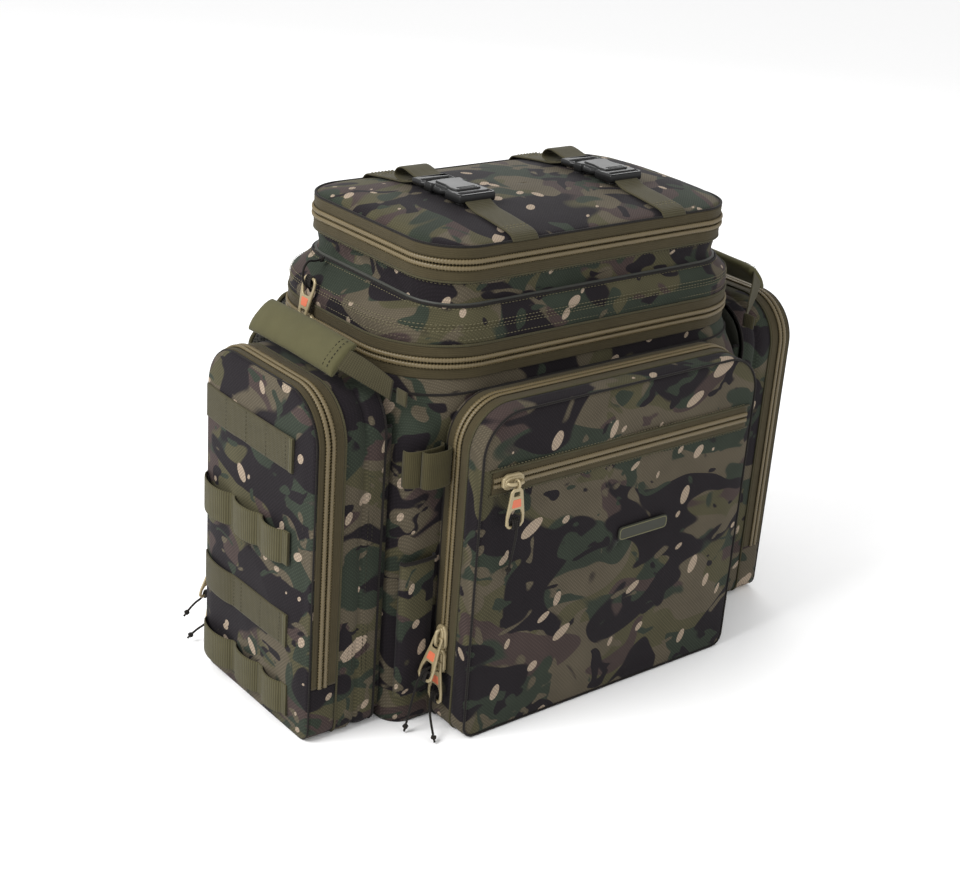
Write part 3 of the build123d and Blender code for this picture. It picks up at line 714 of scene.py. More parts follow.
def zip_side(name, loop, place, seam, way, width, sill=None, count=300, ruffle=0.0):
    """One tape of a zip round a loop, with its row of teeth at the seam. The teeth sink along the rear hinge."""
    proud, gap = 1.5, 0.3
    ribs = [(0.0, 0.0), (0.4, 0.5), (3.6, 0.6), (6.0, 0.6), (6.6, 1.0), (7.4, 0.8), (8.6, 1.0), (10.0, 0.8),
            (11.2, 1.0), (12.6, 0.8), (14.0, 1.05), (width - 0.3, 0.9), (width, 0.0)]
    profile = [(loop, proud * high - (0.0 if 0 < off < width else 0.4), seam + way * (gap + off), ruffle)
               for off, high in ribs if off <= width]
    profile += [(loop, -2.0, seam + way * (gap + width), 0), (loop, -2.0, seam + way * gap, 0)]
    flat = place is plan
    tape = loft(name, profile, place, count, TAPE, sill, grain=(30, 30, 8), seed=seam * 0.1, still=flat)
    start = loop.reach(sill) if sill else 0.0

    def at(s):
        p, normal = loop.at(start + s)
        rise = proud + 0.6 - (3.6 * smooth((p.y - REAR_HINGE) / 10) if flat else 0)
        teeth_at = seam + way * COIL_OFFSET
        centre = place(p + normal * rise, teeth_at)
        outwards, along = place(p + normal * (rise + 1), teeth_at), place(p + normal * rise, teeth_at + way)
        return centre, outwards - centre, along - centre

    teeth = coil(name + "_teeth", at, loop.length - 2 * start, sill is None)
    return join(name, [tape, teeth])


def trim(name, loop, place, along, out, radius, material=PIPING):
    """Piping round a loop."""
    spots = [loop.at(loop.length * k / 240) for k in range(240)]
    return rod(name, [place(p + normal * out, along) for p, normal in spots], radius, material, 7, closed=True)


def steps(low, high, pitch):
    """Even steps between two values, about a pitch apart."""
    count = max(1, round((high - low) / pitch))
    return [low + (high - low) * k / count for k in range(count + 1)]


# ------------------------------------------------------------------ main compartment


def make_body():
    outer = [(body_loop(z), 0.0 if 4 < z < 362 else -1.5, z, -1.6 if 20 < z < 345 else 0) for z in
             [0, 1.5, 5, 12] + steps(20, 362, 11) + [364]]
    inner = [(body_loop(z), -4.0, z, 0) for z in (364, 340, 300, 200, 100, 6)]
    shell = loft("main_shell", outer + inner, plan, 300, CAMO, grain=(16, 16, 9), seed=2.0)
    line_inside(shell, len(outer), per_row=len(outer) + len(inner))
    floor = panel("floor", Loop(-231, 231, -139, 129, 24, 24), plan, lambda p, rim: 4.0, 3.4, LINING, 12, 60)
    yoke = trim("yoke", body_loop(350), plan, 350, 0.3, 1.3)
    put(join("main_shell_cloth", [shell, floor, yoke]), "bag", "camo_cloth", "main_shell")
    repaint(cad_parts["base_board"].data, LINING)


def make_lid():
    outer = [(SKIRT, out, z, crease) for out, z, crease in
             ((-0.5, 397, 0), (0.4, 399, 0), (0.8, 403, 0.8), (0.8, 408, 0.8), (0, 413, 0.4), (-1.0, 415, 0))]
    for k in range(1, 9):
        t = k / 9
        outer.append((lid_loop(t), 0.6, 415.5 + 16.5 * t, 1.8 * math.sin(math.pi * t)))
    outer += [(TRAY, 1.2, 432.5, 0), (TRAY, -1.5, 433.5, 0), (TRAY, -4.5, 437, 2.2), (TRAY, -5.5, 443, 4.0),
              (TRAY, -5.0, 449, 4.0), (TRAY, -3.4, 454, 2.0), (TRAY, -0.5, 457, 0)]
    inner = [(TRAY, -7.5, 457, 0), (TRAY, -11.5, 445, 0), (TRAY, -6, 431, 0), (SKIRT, -6, 412, 0), (SKIRT, -5, 397, 0)]
    shell = loft("lid_shell", outer + inner, plan, 360, CAMO_LID, grain=(14, 14, 14), seed=8.0)
    line_inside(shell, len(outer), per_row=len(outer) + len(inner))
    floor = panel("tray_floor", lid_loop(1), plan, lambda p, rim: 435.0, 3.0, LINING, 12, 80)
    seams = [trim("seam_b", TRAY, plan, 432.8, 1.4, 1.2), trim("seam_c", TRAY, plan, 456.6, 0.6, 1.4, OLIVE_PIPING),
             trim("seam_d", SKIRT, plan, 397.8, 1.2, 1.2, OLIVE_PIPING)]
    made = Stitches("main_lid")
    for loop, z, out in ((SKIRT, 403, 1.0), (SKIRT, 412, 0.6), (SKIRT, 414.6, 0.4), (lid_loop(0.12), 418.0, 1.2),
                         (lid_loop(0.9), 430.8, 1.2), (TRAY, 453.4, -1.6)):
        spots = [loop.at(loop.length * k / 300) for k in range(301)]
        made.row([plan(p + normal * out, z) for p, normal in spots], [plan(normal, 0.0) for p, normal in spots])
    made.make("camo_cloth")
    put(join("lid_shell_cloth", [shell, floor] + seams), "main_lid", "camo_cloth", "lid_shell")
    low = zip_side("lid_zip_low", SKIRT, plan, LID_SEAM, 1, WIDE_TAPE, ruffle=0.35)
    high = zip_side("lid_zip_high", TRAY, plan, TRAY_SEAM, -1, WIDE_TAPE, ruffle=0.5)
    put(join("lid_zip_sides", [low, high]), "main_lid", "zip_tape", "lid_zip_tapes")


def make_top():
    def height(p, rim):
        sag = 0.8 * folds((p.x, p.y, 0), (13, 13, 13), 4.0) * (1 - rim ** 6)
        return 490.3 + (dome(p.y) - 490.3) * (1 - rim ** 9) ** 0.6 + sag

    cover = panel("top_panel", TRAY, plan, height, 4.0, CAMO, 26, 220)
    rim = trim("rim", TRAY, plan, 490.8, 0.4, 1.3)
    put(join("top_panel_cloth", [cover, rim]), "top_flap", "camo_cloth", "top_panel")
    zip_top = zip_side("top_zip_side", TRAY, plan, TRAY_SEAM, 1, WIDE_TAPE, ruffle=0.35)
    put(zip_top, "top_flap", "zip_tape", "top_zip_tape")


make_body()
make_lid()
make_top()
main_low = zip_side("main_zip_low", SKIRT, plan, LID_SEAM, -1, WIDE_TAPE, ruffle=0.35)

# ------------------------------------------------------------------ front pocket


def skin(name, loop, place, edge, face, roll, surface, thick, material, rings, count):
    """A pocket's outer panel with the rim that turns back from it. surface(point) is where its face stands."""
    rows = []
    way = 1 if face > edge else -1
    samples = [loop.at(loop.length * k / count) for k in range(count)]
    rim = [(0.0, edge)]
    if abs(face - edge) > 8:
        rim += [(0.0, edge + (face - way * roll - edge) * t) for t in (0.33, 0.66, 1.0)]
    rim += [(-roll * (1 - math.cos(a)), face - way * roll * (1 - math.sin(a))) for a in (0.5, 1.0)]
    for lift in (0, 1):
        part = []
        for out, along in rim:
            stand = along - (way * thick * lift if along != edge else 0)
            part.append([place(p + n * (out - lift * thick), stand) for p, n in samples])
        for k in range(rings + 1):
            scale = 1 - (k / rings) * 0.997
            ease = smooth(min(1, (1 - scale) * 9))
            ring = []
            for p, n in samples:
                q = p - n * (roll + lift * thick * 0.5)
                q = loop.centre + (q - loop.centre) * scale
                ring.append(place(q, face + (surface(q) - face) * ease - way * thick * lift))
            part.append(ring)
        rows += part if lift == 0 else part[::-1]
    return line_inside(grid(name, rows, material, wrap_rows=True), len(rows) // 2, row_long=count)


def make_front():
    tub = [loft("tub_ring", [(FRONT, 0, -139, 0), (FRONT, 0.6, -142, 0), (FRONT, 0, -144.8, 0), (FRONT, -5, -144.8, 0),
                             (FRONT, -5, -139, 0)], facing, 260, CAMO),
           loft("tub_foot", [(FRONT, 0, y, 0.8 if -172 < y < -148 else 0) for y in steps(-176, -144, 5)] +
                [(FRONT, -4, -144, 0), (FRONT, -4, -176, 0)], facing, 130, CAMO, sill=62, below=True,
                grain=(14, 14, 14)),
           trim("tub_seam", FRONT, facing, -144.6, 0.9, 1.2)]
    put(join("front_tub_cloth", tub), "bag", "camo_cloth", "front_tub")

    def crease(q):
        return face_y(q.x, q.y) + 2.0 * folds((q.x, 0, q.y), (9, 9, 6), 3.0)

    front = skin("front_face_cloth", FRONT, facing, -175.6, FACE, 6.0, crease, 3.0, CAMO, 24, 300)
    edge = trim("edge", FRONT, facing, -197.0, -1.4, 1.3)
    fold = trim("fold", FRONT, facing, -175.8, 0.4, 1.2, OLIVE_PIPING)
    front = join("front_face_cloth", [front, edge, fold])
    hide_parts("front_door_shell")
    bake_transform(front)

    tapes = []
    ribs = ((0.3, 0.2), (0.4, 0.9), (2.6, 1.1), (4.2, 0.8), (5.6, 1.1), (7.2, 0.9), (9.0, 1.1), (11.4, 1.0), (12, 0.3),
            (12, -1), (0.3, -1))
    for way in (-1, 1):
        teeth_at = FACE_SEAM + way * COIL_OFFSET
        rows = [[Vector((x, FACE - 1.3 * high, FACE_SEAM + way * off)) for off, high in ribs]
                for x in steps(-172, 172, 4)]
        tapes.append(grid("face_tape", rows, TAPE))
        tapes.append(coil("face_teeth", lambda s: (Vector((s - 171, FACE - 1.9, teeth_at)), -Y_WAY, Z_WAY), 342,
                          closed=False))
        hem = [(x, FACE - 0.6, FACE_SEAM + way * 12.4) for x in steps(-175, 175, 10)]
        tapes.append(rod("face_piping", hem, 1.2, OLIVE_PIPING))
    tapes.append(zip_side("front_zip_door", FRONT, facing, FRONT_SEAM, -1, 15.0, sill=63, count=260, ruffle=0.3))
    put(join("front_door_zip_sides", tapes), "front_door", "zip_tape", "front_door_zip_tapes")

    made = Stitches("front_door")
    for z in (265.5, 294.5):
        made.row([(x, face_y(x, z) - 0.7, z) for x in steps(-168, 168, 6)], (0, -1, 0))
    made.make()


make_front()
front_fixed = zip_side("front_zip_fixed", FRONT, facing, FRONT_SEAM, 1, 14.8, sill=63, count=260, ruffle=0.3)

# ------------------------------------------------------------------ side pockets


def webbing_row(name, z, bulges, ribbed):
    """One row of webbing across a side panel, from front to rear, with its raised loops and its ribbed patches."""
    points = []
    for y in steps(-90, 71, 2.5):
        rise = 0.0
        for y0, y1, height in bulges:
            if y0 < y < y1:
                rise = height * math.sin(math.pi * (y - y0) / (y1 - y0)) ** 0.55
        points.append(Vector((side_x(y, z) + 0.1 + rise, y, z)))
    parts = [ribbon(name, points, Z_WAY, X_WAY, 36, 2.0, RIBBED if len(bulges) > 1 else WEBBING)]
    for y0, y1 in ribbed:
        spots = [Vector((side_x(y, z) + 1.9, y, z)) for y in steps(y0, y1, 2)]
        parts.append(ribbon(name + "_patch", spots, Z_WAY, X_WAY, 35.4, 1.1, RIBBED))
    return join(name, parts)


HIGH_ROW, MIDDLE_ROW, LOW_ROW, ROOT_ROW = 299, 203, 114, 35
LOOPED = (((-82, -46, 7.0), (-38, 6, 7.0), (14, 71, 9.0)), ((-90, -81), (-46, -38)))


def make_side():
    """The right-hand pocket, which the left one mirrors, and the stitches of both."""
    gusset = [(SIDE, out, x, crease) for out, x, crease in
              ((0, 240, 0), (0.3, 243, 0.4), (0.5, 248, 1.4), (0.4, 256, 1.6), (-0.6, 261, 0.5), (-2.2, 263, 0),
               (-0.6, 265, 0.5), (0.6, 270, 1.6), (0.5, 278, 1.4), (0.2, 284, 0.5), (0, 286.8, 0))]
    tub = loft("side_gusset", gusset + [(SIDE, -4, 286.8, 0), (SIDE, -4, 240, 0)], right_side, 260, CAMO_SIDE,
               grain=(14, 14, 14), seed=5.0)
    foot = loft("side_foot", [(SIDE, 0, x, 0.7 if 290 < x < 312 else 0) for x in steps(286.5, 317, 5)] +
                [(SIDE, -4, 317, 0), (SIDE, -4, 286.5, 0)], right_side, 130, CAMO_SIDE, sill=60, below=True)
    back = panel("side_back", SIDE, right_side, lambda p, rim: 242.0, 2.0, LINING, 12, 80)
    seams = [trim("side_seam", SIDE, right_side, 286.6, 0.9, 1.2, OLIVE_PIPING),
             trim("side_seam_b", SIDE, right_side, 241, 0.6, 1.3)]
    tub = join("right_tub_cloth", [tub, foot, back] + seams)

    def surface(q):
        return side_x(q.x, q.y) + 2.0 * folds((0, q.x, q.y), (9, 10, 8), 6.0)

    face = skin("right_face_cloth", SIDE, right_side, 315.6, 320.0, 3.5, surface, 2.5, CAMO_SIDE, 20, 240)
    face = join("right_face_cloth", [face, trim("side_edge", SIDE, right_side, 317.6, -0.4, 1.0)])
    door_zip = zip_side("right_zip_door", SIDE, right_side, SIDE_SEAM, 1, 11.6, sill=61, count=220, ruffle=0.25)
    fixed_zip = zip_side("right_zip_fixed", SIDE, right_side, SIDE_SEAM, -1, WIDE_TAPE, sill=61, count=220, ruffle=0.25)
    rows = [webbing_row("row_high", HIGH_ROW, (), ((-90, -84),)), webbing_row("row_mid", MIDDLE_ROW, *LOOPED),
            webbing_row("row_low", LOW_ROW, ((10, 71, 4.0),), ((-90, -84),))]
    low = webbing_row("row_root", ROOT_ROW, *LOOPED)
    for side, k in (("right", 1), ("left", -1)):
        made = Stitches(side + "_door")
        for z, rear in ((HIGH_ROW, 30), (LOW_ROW, 6)):
            for y in (-78, -44, -8, rear):
                made.row([(k * (side_x(y, z) + 2.15), y, z + dz) for dz in steps(-17, 17, 4)], X_WAY * k)
        made.make("olive_webbing", DARK_THREAD)
    made = Stitches("bag")
    for k in (-1, 1):
        for x in (252, 257, 269, 274):
            made.row([(k * x, -121.6, z) for z in steps(60, 305, 12)], -Y_WAY)
    made.make("camo_cloth", DARK_THREAD)
    return tub, face, door_zip, fixed_zip, join("right_rows", rows), low


def place_side(side, tub, face, door_zip, rows):
    put(tub, "bag", "camo_cloth", side + "_tub")
    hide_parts(side + "_door_panel")
    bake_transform(face)
    put(door_zip, side + "_door", "zip_tape", side + "_door_zip_tape")
    put(rows, side + "_door", "olive_webbing", side + "_door_webbing")


tub, face, door_zip, fixed_zip, rows, low_row = make_side()
left = [mirrored(piece, name) for piece, name in ((tub, "left_tub_cloth"), (face, "left_face_cloth"),
                                                  (door_zip, "left_zip_door"), (rows, "left_rows"))]
left_fixed, left_low = mirrored(fixed_zip, "left_zip_fixed"), mirrored(low_row, "left_row_root")
place_side("right", tub, face, door_zip, rows)
place_side("left", *left)
put(join("fixed_zip_sides", [main_low, front_fixed, fixed_zip, left_fixed]), "bag", "zip_tape", "fixed_zip_tapes")

# ------------------------------------------------------------------ webbing, handles and straps


def arc_ribbon(name, centres, across, out, width, thick, fine=4.0):
    """Webbing whose path is smoothed through its corners. fine is about how far apart its points lie."""
    points, ways, outs = ([Vector(v) for v in values] for values in (centres, across, out))
    count = max(8, int(sum((b - a).length for a, b in zip(points, points[1:])) / fine))
    n = len(points) - 1

    def cubic(values, i, f):
        p0, p1, p2, p3 = values[max(i - 1, 0)], values[i], values[i + 1], values[min(i + 2, n)]
        return 0.5 * ((2 * p1) + (p2 - p0) * f + (2 * p0 - 5 * p1 + 4 * p2 - p3) * f * f +
                      (3 * p1 - p0 - 3 * p2 + p3) * f ** 3)

    rows = []
    for k in range(count + 1):
        t = n * k / count
        i = min(int(t), n - 1)
        rows.append([cubic(values, i, t - i) for values in (points, ways, outs)])
    centres, ways, outs = zip(*rows)
    return ribbon(name, centres, list(ways), list(outs), width, thick)


def make_handle():
    """The right-hand carrying handle: webbing legs and a wide flat grip of smooth cloth."""
    tilt, out = (X_WAY - Z_WAY).normalized(), (X_WAY + Z_WAY).normalized()
    centres = [(237, -122, 360), (241, -119, 364), (254, -112, 374), (268, -103, 384), (277, -92, 390),
               (278, -60, 391.5), (278, -25, 392), (278, 12, 391.5), (277, 44, 390), (268, 60, 384), (254, 76, 374),
               (241, 90, 364), (237, 92, 360)]
    across = [(0, 0.15, -1), (0.1, 0.15, -1), (0.4, 0.1, -1), (0.7, 0, -1)] + [tilt] * 5 + \
        [(0.7, 0, -1), (0.4, -0.1, -1), (0.1, -0.15, -1), (0, -0.15, -1)]
    outs = [(1, 0, 0), (1, -0.2, 0.1), (1, -0.3, 0.4), (1, -0.2, 0.8)] + [out] * 5 + \
        [(1, 0.2, 0.8), (1, 0.3, 0.4), (1, 0.2, 0.1), (1, 0, 0)]
    legs = arc_ribbon("handle_web", centres, across, outs, 21, 2.2)
    grip_at = [Vector(at) for at in ((277, -97, 389.4), (278, -80, 390.8), (278.3, -25, 392), (278, 30, 390.8),
                                     (277, 48, 389.4))]
    rows = []
    for k in range(49):
        t = k / 48
        f = min(3.999, t * 4)
        i = int(f)
        middle = grip_at[i].lerp(grip_at[i + 1], f - i)
        end = min(1.0, min(t, 1 - t) * 14) ** 0.5
        swell = 5.6 * (0.55 + 0.45 * end) + 0.5 * folds((middle.x, middle.y, 0), (20, 20, 20), 2.0)
        ring = []
        for j in range(22):
            a = 2 * math.pi * j / 22
            c, h = math.cos(a), math.sin(a)
            ring.append(middle + tilt * (19.2 * math.copysign(abs(c) ** 0.75, c)) +
                        out * (swell * math.copysign(abs(h) ** 0.8, h) - 2.0 * c * c))
        rows.append(ring)
    grip = grid("handle_grip", rows, GRIP)
    made = Stitches("right_grip")
    for y in (-91, -84):
        made.row([Vector((278, y, 391)) + tilt * v + out * (5.2 - 5.5 * (v / 19) ** 4) for v in steps(-17, 17, 3)], out)
    made.make("olive_webbing", DARK_THREAD)
    return join("right_handle_cloth", [legs, grip])


STRAP_X = 98


def make_lid_straps():
    """The two straps over the lid: a short front one, a rear one, and the slack turned back at its buckle."""
    parts = []
    made = Stitches("top_flap")
    for side in (-1, 1):
        x = STRAP_X * side

        def lie(spots):
            return [Vector((x, y, dome(y) + 0.9 + up)) for y, up in spots]

        front = [Vector((x, -131.8, 489.6)), Vector((x, -129.2, 493.6))] + \
            lie(((-123, 0), (-112, 0), (-98, 0), (-84, 0), (-74, 0), (-66, 1.2), (-58, 4.2), (-52, 6.2)))
        outs = [(0, -1, 0.3), (0, -0.8, 0.7)] + [(0, -0.1, 1)] * 5 + [(0, -0.2, 1)] * 3
        rear = lie(((18, 6.0), (26, 4.4), (34, 2.6), (46, 0.4), (62, 0), (80, 0), (98, 0), (108, 0))) + \
            [Vector((x, 113.6, 490))]
        rear_outs = [(0, 0.2, 1)] * 3 + [(0, 0.05, 1)] * 4 + [(0, 0.7, 0.7), (0, 1, 0.2)]
        slack = lie(((20, 8.2), (30, 10.5), (42, 13.8), (50, 14.6), (56.5, 11.6), (58, 6.8), (52, 4.2), (44, 3.6),
                     (36, 5.0)))
        slack_outs = [(0, -0.4, 1), (0, -0.4, 1), (0, -0.1, 1), (0, 0.4, 1), (0, 1, 0.3), (0, 1, -0.6), (0, 0.2, -1),
                      (0, 0, -1), (0, -0.2, -1)]
        for name, spots, ways, width, thick, fine in (("strap_front", front, outs, 32, 2.0, 4.0),
                                                      ("strap_rear", rear, rear_outs, 34, 2.0, 4.0),
                                                      ("strap_slack", slack, slack_outs, 33, 1.9, 2.0)):
            parts.append(arc_ribbon(name, spots, [X_WAY] * len(spots), ways, width, thick, fine))
        for y in (-118, -113.5):
            made.row([(x + dx, y, dome(y) + 3.2) for dx in steps(-14, 14, 3)], Z_WAY)
        made.box((x - 14, 88, dome(88) + 3.1), (28, 0, 0), (0, 14, -1.0), Z_WAY)
    put(join("lid_straps_web", parts), "top_flap", "olive_webbing", "lid_straps")
    made.make()


def make_sewn():
    """Webbing that is sewn straight on the bag."""
    parts = []
    for side in (-1, 1):
        for y0, y1 in ((-139, -124), (82, 104)):
            spots = [Vector((side * 231.9, y, 355.5)) for y in steps(y0, y1, 3)]
            parts.append(ribbon("anchor", spots, Z_WAY, X_WAY * side, 15, 2.0))
        root = [Vector((side * x, BACK, 346)) for x in steps(62, 124, 4)]
        haul = [Vector((side * 44, BACK, z)) for z in steps(330, 351.4, 3)]
        tail = [Vector((side * 177.5, BACK, z)) for z in steps(30, 86, 4)]
        parts += [ribbon("strap_root", root, Z_WAY, Y_WAY, 32, 3.2), ribbon("haul_root", haul, X_WAY, Y_WAY, 14, 8.6),
                  ribbon("tail", tail, X_WAY, Y_WAY, 35, 1.8)]
    put(join("sewn_web", parts + [low_row, left_low]), "bag", "olive_webbing", "sewn_webbing")


def make_haul():
    """The haul loop, an arch that mirrors itself."""
    half = [((-44, 353), (-1, 0)), ((-44, 358), (-1, 0)), ((-42.5, 366), (-1, 0.4)), ((-36, 371.5), (-0.6, 1)),
            ((-24, 373), (-0.1, 1))]
    arch = half + [((0, 373.2), (0, 1))] + [((-x, z), (-dx, dz)) for (x, z), (dx, dz) in half[::-1]]
    spots, outs = [(x, 138, z) for (x, z), way in arch], [(dx, 0, dz) for at, (dx, dz) in arch]
    put(arc_ribbon("haul_web", spots, [Y_WAY] * len(spots), outs, 8, 3.2, 2.5), "haul", "olive_webbing", "haul_loop")


handle = make_handle()
left_handle = mirrored(handle, "left_handle_cloth")
put(handle, "right_grip", "olive_webbing", "right_handle")
put(left_handle, "left_grip", "olive_webbing", "left_handle")
put(mirrored(scene.objects["stitches_right_grip"], "stitches_left_grip"), "left_grip", "olive_webbing")
make_lid_straps()
make_sewn()
make_haul()

# ------------------------------------------------------------------ sleeves, slot pockets and rod loops


def make_small():
    """The sleeves between the pockets and the body, the slot pockets, and the elastic rod loops above them."""
    parts = []
    for side in (-1, 1):
        for y in (-115, 70):
            section = ((231, -1.8), (236, -1.8), (240.5, -1.8), (240.5, 1.8), (236, 1.8), (231, 1.8))
            rows = [[Vector((side * x, y + dy + 1.0 * math.sin(z / 30) * (1 if 233 < x < 239 else 0), z))
                     for x, dy in section] for z in steps(14, 320, 9)]
            parts.append(grid("sleeve_web", rows, CAMO_SIDE))
            parts.append(rod("sleeve_hem", [(side * x, y, 320.5) for x in (231, 234, 237, 240.5)], 2.2, PIPING))
        floor = [[Vector((side * x, y, z)) for x, z in ((231, 14), (240.5, 14), (240.5, 18), (231, 18))]
                 for y in steps(-117, 72, 9)]
        parts.append(grid("sleeve_floor", floor, CAMO_SIDE))
    put(join("sleeve_cloth", parts), "bag", "camo_cloth", "sleeve_webs")

    pockets, loops = [], []
    low, high = 37, 186
    for side in (-1, 1):
        rows = []
        for z in [low, 37.8] + steps(42, 182, 7) + [185, high]:
            swell = math.sin(math.pi * (z - low) / (high - low)) ** 0.5 if low < z < high else 0
            outside = ((190, -140), (190.5, -143), (193, -145.5 - 1.5 * swell), (203, -146.5 - 1.5 * swell),
                       (218, -146.5 - 1.5 * swell), (228, -145.5 - 1.5 * swell), (230.5, -143), (231, -140))
            inside = ((229, -140.6), (226, -143.4 - swell), (210, -144.2 - swell), (195, -143.4 - swell), (192, -140.6))
            rows.append([Vector((side * x, y + 0.6 * folds((x * side, y, z), (20, 9, 12), 9.0) * swell, z))
                         for x, y in outside] + [Vector((side * x, y, z)) for x, y in inside])
        pockets.append(grid("slot_pocket", rows, CAMO))
        hem = ((190.3, -141), (192, -145.4), (203, -147.2), (218, -147.2), (229, -145.4), (230.7, -141))
        pockets.append(rod("slot_hem", [(side * x, y, 185.6) for x, y in hem], 2.1, PIPING, 8))
        for x0, x1, y0, y1 in ((190, 234, -140.4, -152), (190, 220, -152.2, -162.2)):
            spots, outs = [], []
            for k in range(25):
                a = math.pi * (k / 24)
                spots.append(Vector((side * ((x0 + x1) / 2 - (x1 - x0) / 2 * math.cos(a) * 0.98),
                                     y0 + (y1 - y0) * math.sin(a) ** 0.45 * 0.82, 287)))
                outs.append(Vector((side * -math.cos(a), -math.sin(a) - 0.1, 0)))
            loops.append(ribbon("rod_loop", spots, Z_WAY, outs, 38, 1.6, ELASTIC))
    put(join("slot_pocket_cloth", pockets), "bag", "camo_cloth", "slot_pockets")
    put(join("rod_loop_elastic", loops), "bag", "elastic", "rod_loops")


make_small()

# ------------------------------------------------------------------ badge


QUARTER_TURN = Matrix.Rotation(math.pi / 2, 4, "X")  # stands a plate up, facing the front


def box_outline(x0, x1, y0, y1, radius):
    return rounded([(x0, y0), (x1, y0), (x1, y1), (x0, y1)], radius)


def make_badge():
    """A blank badge with a raised outline."""
    x, z = 32, 186
    turn = Matrix.Translation((x, face_y(x, z) - 1.4, z)) @ QUARTER_TURN
    outer = box_outline(-34, 34, -7.5, 7.5, 5)
    base = plate("badge_base", [outer], 2.4, 0.8, RUBBER, turn)
    outline = [turn @ Vector((p[0] * 0.955, p[1] * 0.82, 1.1)) for p in outer]
    ring = rod("badge_ring", outline, 0.55, RUBBER_LINE, 6, closed=True)
    put(join("badge_blank", [base, ring]), "front_door", "badge_rubber", "badge")


make_badge()

# ------------------------------------------------------------------ pads on the back


def pad_form(name, outline, y0, y1):
    """A slab with rounded edges between two depths."""
    inset = 1.5
    return plate(name, [outline], y1 - y0 - inset, 3.0, MESH, Matrix.Translation((0, (y0 + y1) / 2, 0)) @ QUARTER_TURN)


SWELL_FRAMES = 20


def inflate(piece, voxel, cap):
    """Swells a closed form with a short cloth simulation, then keeps each point near where it began."""
    settle(piece, "REMESH", mode="VOXEL", voxel_size=voxel * MM)
    mesh = piece.data
    start = np.empty(3 * len(mesh.vertices), np.float32)
    mesh.vertices.foreach_get("co", start)
    start = start.reshape(-1, 3)
    cloth = piece.modifiers.new("swell", "CLOTH")
    cloth.settings.use_pressure, cloth.settings.uniform_pressure_force = True, 4.0
    cloth.settings.effector_weights.gravity = 0
    cloth.settings.quality = 4
    cloth.point_cache.frame_start, cloth.point_cache.frame_end = 1, SWELL_FRAMES
    for number in range(1, SWELL_FRAMES + 1):
        scene.frame_set(number)
    done = piece.evaluated_get(bpy.context.evaluated_depsgraph_get()).to_mesh()
    moved = np.empty(3 * len(mesh.vertices), np.float32)
    done.vertices.foreach_get("co", moved)
    piece.evaluated_get(bpy.context.evaluated_depsgraph_get()).to_mesh_clear()
    piece.modifiers.clear()
    scene.frame_set(1)
    change = moved.reshape(-1, 3) - start
    far = np.linalg.norm(change, axis=1, keepdims=True)
    change *= np.minimum(1, cap * MM / np.maximum(far, 1e-9))
    mesh.vertices.foreach_set("co", (start + change).ravel())
    settle(piece, "SUBSURF", levels=1)
    repaint(piece.data, MESH)
    return piece


SHOULDER = [(58, 374), (128, 374), (190, 368), (230, 325), (236, 270), (222, 190), (205, 118), (150, 118), (165, 200),
            (172, 270), (160, 312), (120, 322), (58, 322)]


def make_pads():
    outline = rounded([(x, z, 18) for x, z in SHOULDER], 18)
    pad = inflate(pad_form("right_pad_mesh", outline, 134.8, 146.2), 5.0, 2.2)
    twin = mirrored(pad, "left_pad_mesh")
    for piece, side in ((pad, "right"), (twin, "left")):
        put(piece, side + "_strap", "spacer_mesh", side + "_shoulder_pad")
    upright = inflate(pad_form("back_pad", box_outline(34, 136, 124, 306, 20), 131.0, 144.0), 5.5, 3.0)
    other = mirrored(upright, "back_pad_twin")
    low = inflate(pad_form("lumbar_pad", box_outline(-146, 146, 44, 106, 20), 131.0, 144.0), 5.5, 3.0)
    back = join("back_pads_mesh", [upright, other, low])
    put(back, "bag", "spacer_mesh", "back_pads")


make_pads()


def edge_binding():
    """Bound edges of the shoulder pads."""
    outline = rounded([(x, z, 18) for x, z in SHOULDER], 18, 8)
    for side, k in (("right", 1), ("left", -1)):
        bind = rod(side + "_pad_binding", [(k * x, 140.5, z) for x, z in outline], 2.3, OLIVE_PIPING, 8, closed=True)
        put(bind, side + "_strap", "spacer_mesh")


edge_binding()

# ------------------------------------------------------------------ buckles, sliders and pulls


def both_sides(half):
    """An outline from its right half, followed by the same points mirrored in reverse."""
    return half + [(-x, y) for x, y in half[::-1]]


def buckle(side):
    """A side-release buckle: a socket with open sides and a plug whose two arms snap into them."""
    x = STRAP_X * side
    socket = [(22, -57.5), (22.5, -45), (22.5, -33), (17.5, -31), (17.5, -11), (21.5, -9), (22.5, 1.8), (7, 1.8),
              (4, -2)]
    socket = [(-22, -57.5)] + both_sides(socket)[:-1]
    parts = [plate("socket", [rounded(socket, 2.2), box_outline(-19, 19, -55, -49.5, 2)], 9.6, 2.4, PLASTIC,
                   Matrix.Translation((x, 0, 511.6)))]
    crown = [(-15, -43)] + both_sides([(15, -43), (17, -34), (14, -22), (14, -6), (10, -3)])[:-1]
    parts.append(plate("socket_crown", [rounded(crown, 4)], 3.0, 1.3, PLASTIC, Matrix.Translation((x, 0, 516.6))))
    for y in (-40.5, -37):
        parts.append(rod("socket_rib", [(x + dx, y, 517.9) for dx in (-11, 0, 11)], 0.7, PLASTIC, 8))
    plug = both_sides([(21, 23.8), (21.5, 8), (19, 3), (19.5, -9), (21.5, -14), (21.5, -24), (16, -31), (13, -28),
                       (13.5, -4), (9, 3)])
    bars = [box_outline(-17.5, 17.5, y, y + 4.4, 1.5) for y in (8.2, 16.0)]
    arms = plate("plug", [rounded(plug, 2.4)] + bars, 6.4, 2.0, PLASTIC, Matrix.Translation((x, 0, 511.8)))
    return parts, arms


